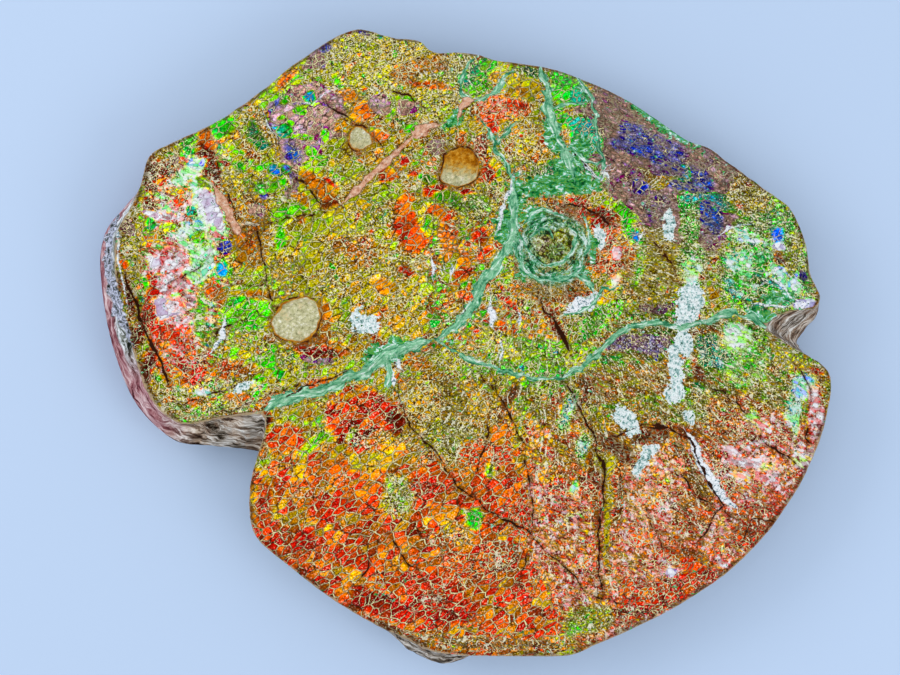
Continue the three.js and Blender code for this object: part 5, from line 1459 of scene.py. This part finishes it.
# Seams packed with pink-tan silt, and white glints, painted highlights
silt_colour = add(tree, RAMP, (grit,), stops=[
    (0.30, "#b87858"), (0.42, "#e0a484"), (0.55, "#f0bc9c"), (0.7, "#fce4d0"),
])
coats.append((line_cover("seam", 0.5, 0.25, 0.5), linear("#84482c")))
coats.append((line_cover("seam", 0.2, 0.2, 0.5), silt_colour))
gritty = add(tree, SPAN, (crumb, 0.45, 0.37))
glint_colour = add(tree, LAY, {0: gritty, 6: linear("#fafcff"), 7: linear("#7c98a0")}, 2)
coats.append((line_cover("glint", 0.0, 0.3, 1.8), glint_colour))

# Bite pits: floors of pale sandy stone inside an ochre crescent and a broken dark rim
torn_pit = add(tree, TIMES_PLUS, (flake_swing, 1.7, attribute["pit"]))
sand = add(tree, RAMP, (grit,), stops=[
    (0.26, "#8c8860"), (0.40, "#c4c090"), (0.58, "#e0dab0"), (0.72, "#fffff0"),
])
ochre = add(tree, RAMP, (flake,), stops=[(0.3, "#8a4404"), (0.5, "#c47c10"), (0.7, "#f0b848")])
rusty = add(tree, TIMES_PLUS, (patch_swing, 1.6, attribute["pit_rust"]))
rusty = add(tree, TIMES_PLUS, (grit_swing, 1.2, rusty))
pit_colour = add(tree, LAY, {0: add(tree, SPAN, (rusty, 0.1, 0.7)), 6: sand, 7: linear("#d0a84c")}, 2)
pit_colour = add(tree, LAY, {0: add(tree, SPAN, (rusty, 0.45, 1.05)), 6: pit_colour, 7: ochre}, 2)
stain = add(tree, TIMES, (add(tree, SPAN, (torn_pit, 3.2, 1.2)), 0.5))
broken_rim = add(tree, SPAN, (torn_pit, 0.8, 0.5))
broken_rim = add(tree, TIMES, (broken_rim, add(tree, SPAN, (patch, 0.46, 0.54))))
floor_gap = add(tree, TIMES_PLUS, (cloud_swing, 3.0, torn_pit))
floor_cover = add(tree, SPAN, (floor_gap, -0.7, -1.2))
coats += [
    (stain, linear("#8c5418")),
    (broken_rim, linear("#4c200c")),
    (add(tree, SPAN, (torn_pit, -0.1, -0.4)), ochre),
    (floor_cover, pit_colour),
]

# Open cracks
crack_cover = line_cover("crack", -0.22, 0.16, 1.2)
coats.append((line_cover("cross", -0.30, 0.15, 1.3), linear("#3c1a0c")))
coats.append((crack_cover, linear("#34180c")))

# Broken walls: pink-brown ironstone on the left with a pale band, grey and brown elsewhere, in
# layers of about 2.2 mm along the bedding
spread_out = add(tree, "ShaderNodeSeparateXYZ", (place,), None)
bedding = add(tree, "ShaderNodeMapping", {0: place, "Scale": (0.17, 0.17, 1.25)})
layers = {"Vector": bedding, "Scale": 1 / (2.2 * MM), "Detail": 5.0, "Roughness": 0.7, "Distortion": 0.8}
layer = add(tree, NOISE, layers)
grey_stone, brown_stone, pink_stone, pale_stone = (
    add(tree, RAMP, (layer,), stops=colours)
    for colours in (
        [(0.37, "#1c140c"), (0.445, "#665a4c"), (0.52, "#b6aa9e"), (0.62, "#f6f2ec")],
        [(0.36, "#20120a"), (0.445, "#6c5444"), (0.52, "#b49c86"), (0.62, "#f2e8dc")],
        [(0.34, "#3c141c"), (0.43, "#8c4c54"), (0.53, "#c08c90"), (0.66, "#f8e0e0")],
        [(0.39, "#181c14"), (0.46, "#84887c"), (0.52, "#d4d8dc"), (0.60, "#ffffff")],
    )
)
is_brown = add(tree, SPAN, (add(tree, TIMES_PLUS, (flake_swing, 0.5, cloud)), 0.49, 0.59))
pale_band = add(tree, SPAN, (spread_out.outputs[1], -0.020, 0.0))
pale_band = add(tree, TIMES, (pale_band, add(tree, SPAN, (spread_out.outputs[2], 0.0235, 0.0265))))
is_pink = add(tree, SPAN, (spread_out.outputs[0], -0.150, -0.172))
is_pink = add(tree, TIMES, (is_pink, add(tree, SPAN, (spread_out.outputs[1], -0.062, -0.046))))
stone = add(tree, LAY, {0: is_brown, 6: grey_stone, 7: brown_stone}, 2)
left_stone = add(tree, LAY, {0: pale_band, 6: pink_stone, 7: pale_stone}, 2)
stone = add(tree, LAY, {0: is_pink, 6: stone, 7: left_stone}, 2)
wall_cover = area_cover("wall", 0.7)
coats.append((wall_cover, stone))

# Furrow along the venter: white streaks painted in as glints (painted highlights), with black gaps
furrow_glint_colour = add(tree, RAMP, (fibre,), stops=[
    (0.36, "#1c201c"), (0.44, "#6c7070"), (0.52, "#b4b8cc"), (0.66, "#e6e6f6"),
])
coats.append((line_cover("furrow", 0.0, 0.3, 1.8), furrow_glint_colour))
surface = tile
for cover, colour in coats:
    surface = add(tree, LAY, {0: cover, 6: surface, 7: colour}, 2)

# Relief too fine for the mesh, and the finish: polished nacre, matt stone
height = add(tree, TIMES_PLUS, (grit, 0.8, add(tree, SPAN, (gaps, 0.0, 0.6))))
height = add(tree, TIMES_PLUS, (crack_cover, -1.2, height))
height = add(tree, BLEND, {0: wall_cover, 2: height, 3: add(tree, TIMES, (layer, 4.0))})
bump = add(tree, "ShaderNodeBump", {"Height": height, "Strength": 0.8, "Distance": 0.5 * MM}, "Normal")
matt = add(tree, LARGER, (add(tree, LARGER, (wall_cover, floor_cover)), glare_patch_cover))
skin = add(tree, "ShaderNodeBsdfPrincipled", {
    "Base Color": surface,
    "Roughness": add(tree, SPAN, (matt, 0, 1, 0.3, 0.8)),
    "IOR": 1.53,
    "Specular IOR Level": 0.18,
    "Specular Tint": surface,
    "Normal": bump,
})
add(tree, "ShaderNodeOutputMaterial", {"Surface": skin}, None)

# Geometry Nodes give every nacre tile its own height, the flank its growth lines 7 mm apart, and
# the stone its grain
relief = bpy.data.node_groups.new("nacre relief", "GeometryNodeTree")
relief.interface.new_socket("Geometry", in_out="INPUT", socket_type="NodeSocketGeometry")
for name, value in (
    ("Tile Size", 5.2 * MM),
    ("Tile Lift", 0.22 * MM),
    ("Stone Grain", 0.9 * MM),
    ("Growth Line Lift", 0.15 * MM),
    ("Seed", 7.0),
):
    socket = relief.interface.new_socket(name, in_out="INPUT", socket_type="NodeSocketFloat")
    socket.default_value = value
relief.interface.new_socket("Material", in_out="INPUT", socket_type="NodeSocketMaterial")
relief.interface.new_socket("Geometry", in_out="OUTPUT", socket_type="NodeSocketGeometry")
asked = add(relief, "NodeGroupInput", out=None).outputs
position = add(relief, "GeometryNodeInputPosition")
normal = add(relief, "GeometryNodeInputNormal")
how_free, how_wall = (
    add(relief, "GeometryNodeInputNamedAttribute", {"Name": name}, "Attribute", data_type="FLOAT")
    for name in ("free", "wall")
)
density = add(relief, "ShaderNodeMath", (1.0, asked["Tile Size"]), operation="DIVIDE")
tilted = {"Vector": position, "W": asked["Seed"], "Scale": density}
tilt = add(relief, CELLS, tilted, "Color", voronoi_dimensions="4D")
tilt = add(relief, MINUS, (add(relief, "ShaderNodeSeparateXYZ", (tilt,)), 0.5))
lift = add(relief, TIMES, (tilt, asked["Tile Lift"]))
hub_at = (UMBILICUS[0] * MM, UMBILICUS[1] * MM, 50 * MM)
from_hub = add(relief, "ShaderNodeVectorMath", (position, hub_at), 1, operation="DISTANCE")
growth = add(relief, TIMES, (from_hub, 2 * math.pi / (7 * MM)))
growth = add(relief, "ShaderNodeMath", (growth,), operation="SINE")
lift = add(relief, TIMES_PLUS, (growth, asked["Growth Line Lift"], lift))
coarse = {"Vector": position, "W": asked["Seed"], "Scale": 1 / (5 * MM), "Detail": 4.0}
coarse = add(relief, MINUS, (add(relief, NOISE, coarse, noise_dimensions="4D"), 0.5))
stone_lift = add(relief, TIMES, (coarse, asked["Stone Grain"]))
lift = add(relief, BLEND, {0: how_wall, 2: lift, 3: stone_lift})
lift = add(relief, TIMES, (lift, how_free))
offset = add(relief, "ShaderNodeVectorMath", {0: normal, "Scale": lift}, operation="SCALE")
moved = add(relief, "GeometryNodeSetPosition", {"Geometry": asked["Geometry"], "Offset": offset})
moved = add(relief, "GeometryNodeRealizeInstances", (moved,))
moved = add(relief, "GeometryNodeSetMaterial", {"Geometry": moved, "Material": asked["Material"]})
add(relief, "NodeGroupOutput", {"Geometry": moved}, None)
modifier = fossil.modifiers.new("nacre relief", "NODES")
modifier.node_group = relief
for item in relief.interface.items_tree:
    if item.item_type == "SOCKET" and item.in_out == "INPUT" and item.name == "Material":
        modifier[item.identifier] = nacre
plain = bpy.data.meshes.new_from_object(fossil.evaluated_get(bpy.context.evaluated_depsgraph_get()))
fossil.modifiers.remove(modifier)
fossil.data = plain

# Seat the fossil in the box of the solid that it replaces, 0.05 mm clear of it
low, high = (np.array(corner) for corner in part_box("ammonite_fossil"))
seat = np.empty(len(plain.vertices) * 3, np.float32)
plain.vertices.foreach_get("co", seat)
seat = seat.reshape(-1, 3)
reach = seat.max(0) - seat.min(0)
CLEAR = 0.05 * MM
fit = np.minimum(1, (high - low - 2 * CLEAR) / reach)
seat[:, :2] = (seat - (seat.min(0) + seat.max(0)) / 2)[:, :2] * fit[:2] + (low + high)[:2] / 2
seat[:, 2] = np.clip(seat[:, 2], low[2], high[2] - CLEAR)
plain.vertices.foreach_set("co", seat.ravel())
plain.update()
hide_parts("ammonite_fossil")
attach(fossil, "root")

# ==== Ground =====================================================================================
# A plain pale blue-white sheet under the fossil, matt, with nothing on it.
paper = bpy.data.materials.new("paper sheet, matt pale blue")
paper.use_nodes = True
sheet_skin = paper.node_tree.nodes["Principled BSDF"]
sheet_skin.inputs["Base Color"].default_value = linear("#c6daf6")
sheet_skin.inputs["Roughness"].default_value = 0.9
sheet_mesh = bpy.data.meshes.new("ground")
sheet_mesh.from_pydata([(-6, -6, 0), (6, -6, 0), (6, 6, 0), (-6, 6, 0)], [], [(0, 1, 2, 3)])
sheet_mesh.materials.append(paper)
ground = bpy.data.objects.new("ground", sheet_mesh)
bpy.context.collection.objects.link(ground)

# ==== Light ======================================================================================
# Soft studio light: a bright surround that is dimmer overhead, and a large panel on either side,
# so that there is little shadow and no veil of reflection.
for name, spot, power in (("left panel", (-1.4, 0.6, 1.0), 8.0), ("right panel", (1.3, -0.8, 1.1), 7.0)):
    panel = bpy.data.lights.new(name, "AREA")
    panel.shape, panel.size, panel.size_y, panel.energy = "RECTANGLE", 1.2, 0.8, power
    panel.color = (1.0, 0.98, 0.95)
    stand = bpy.data.objects.new(name, panel)
    stand.location = spot
    stand.rotation_euler = (Vector((0, 0, 0.03)) - Vector(spot)).to_track_quat("-Z", "Y").to_euler()
    bpy.context.collection.objects.link(stand)
world = bpy.data.worlds.new("surround")
world.use_nodes = True
sky = world.node_tree
towards = add(sky, "ShaderNodeSeparateXYZ", {0: add(sky, "ShaderNodeTexCoord", out="Generated")}, 2)
level = add(sky, SPAN, {0: towards, 1: 0.55, 2: 0.92, 3: 0.86, 4: 0.67})
sky.nodes["Background"].inputs["Color"].default_value = (0.88, 0.94, 1.0, 1.0)
sky.links.new(level, sky.nodes["Background"].inputs["Strength"])
bpy.context.scene.world = world
bpy.context.scene.view_settings.view_transform = "Standard"

# ==== Camera =====================================================================================
# Straight down from 1.2 m, the frame's middle a little left of and above the fossil's. The frame is
# 495 mm wide at 40 mm over the table, the mean height of the flank.
CAMERA_AT = (-8.3 * MM, 5.5 * MM, 1200 * MM)
FRAME_WIDTH = 495 * MM
lens = bpy.data.cameras.new("camera")
lens.sensor_width = 36.0
lens.lens = lens.sensor_width * (CAMERA_AT[2] - 40 * MM) / FRAME_WIDTH
camera = bpy.data.objects.new("camera", lens)
camera.location = CAMERA_AT
bpy.context.collection.objects.link(camera)
bpy.context.scene.camera = camera
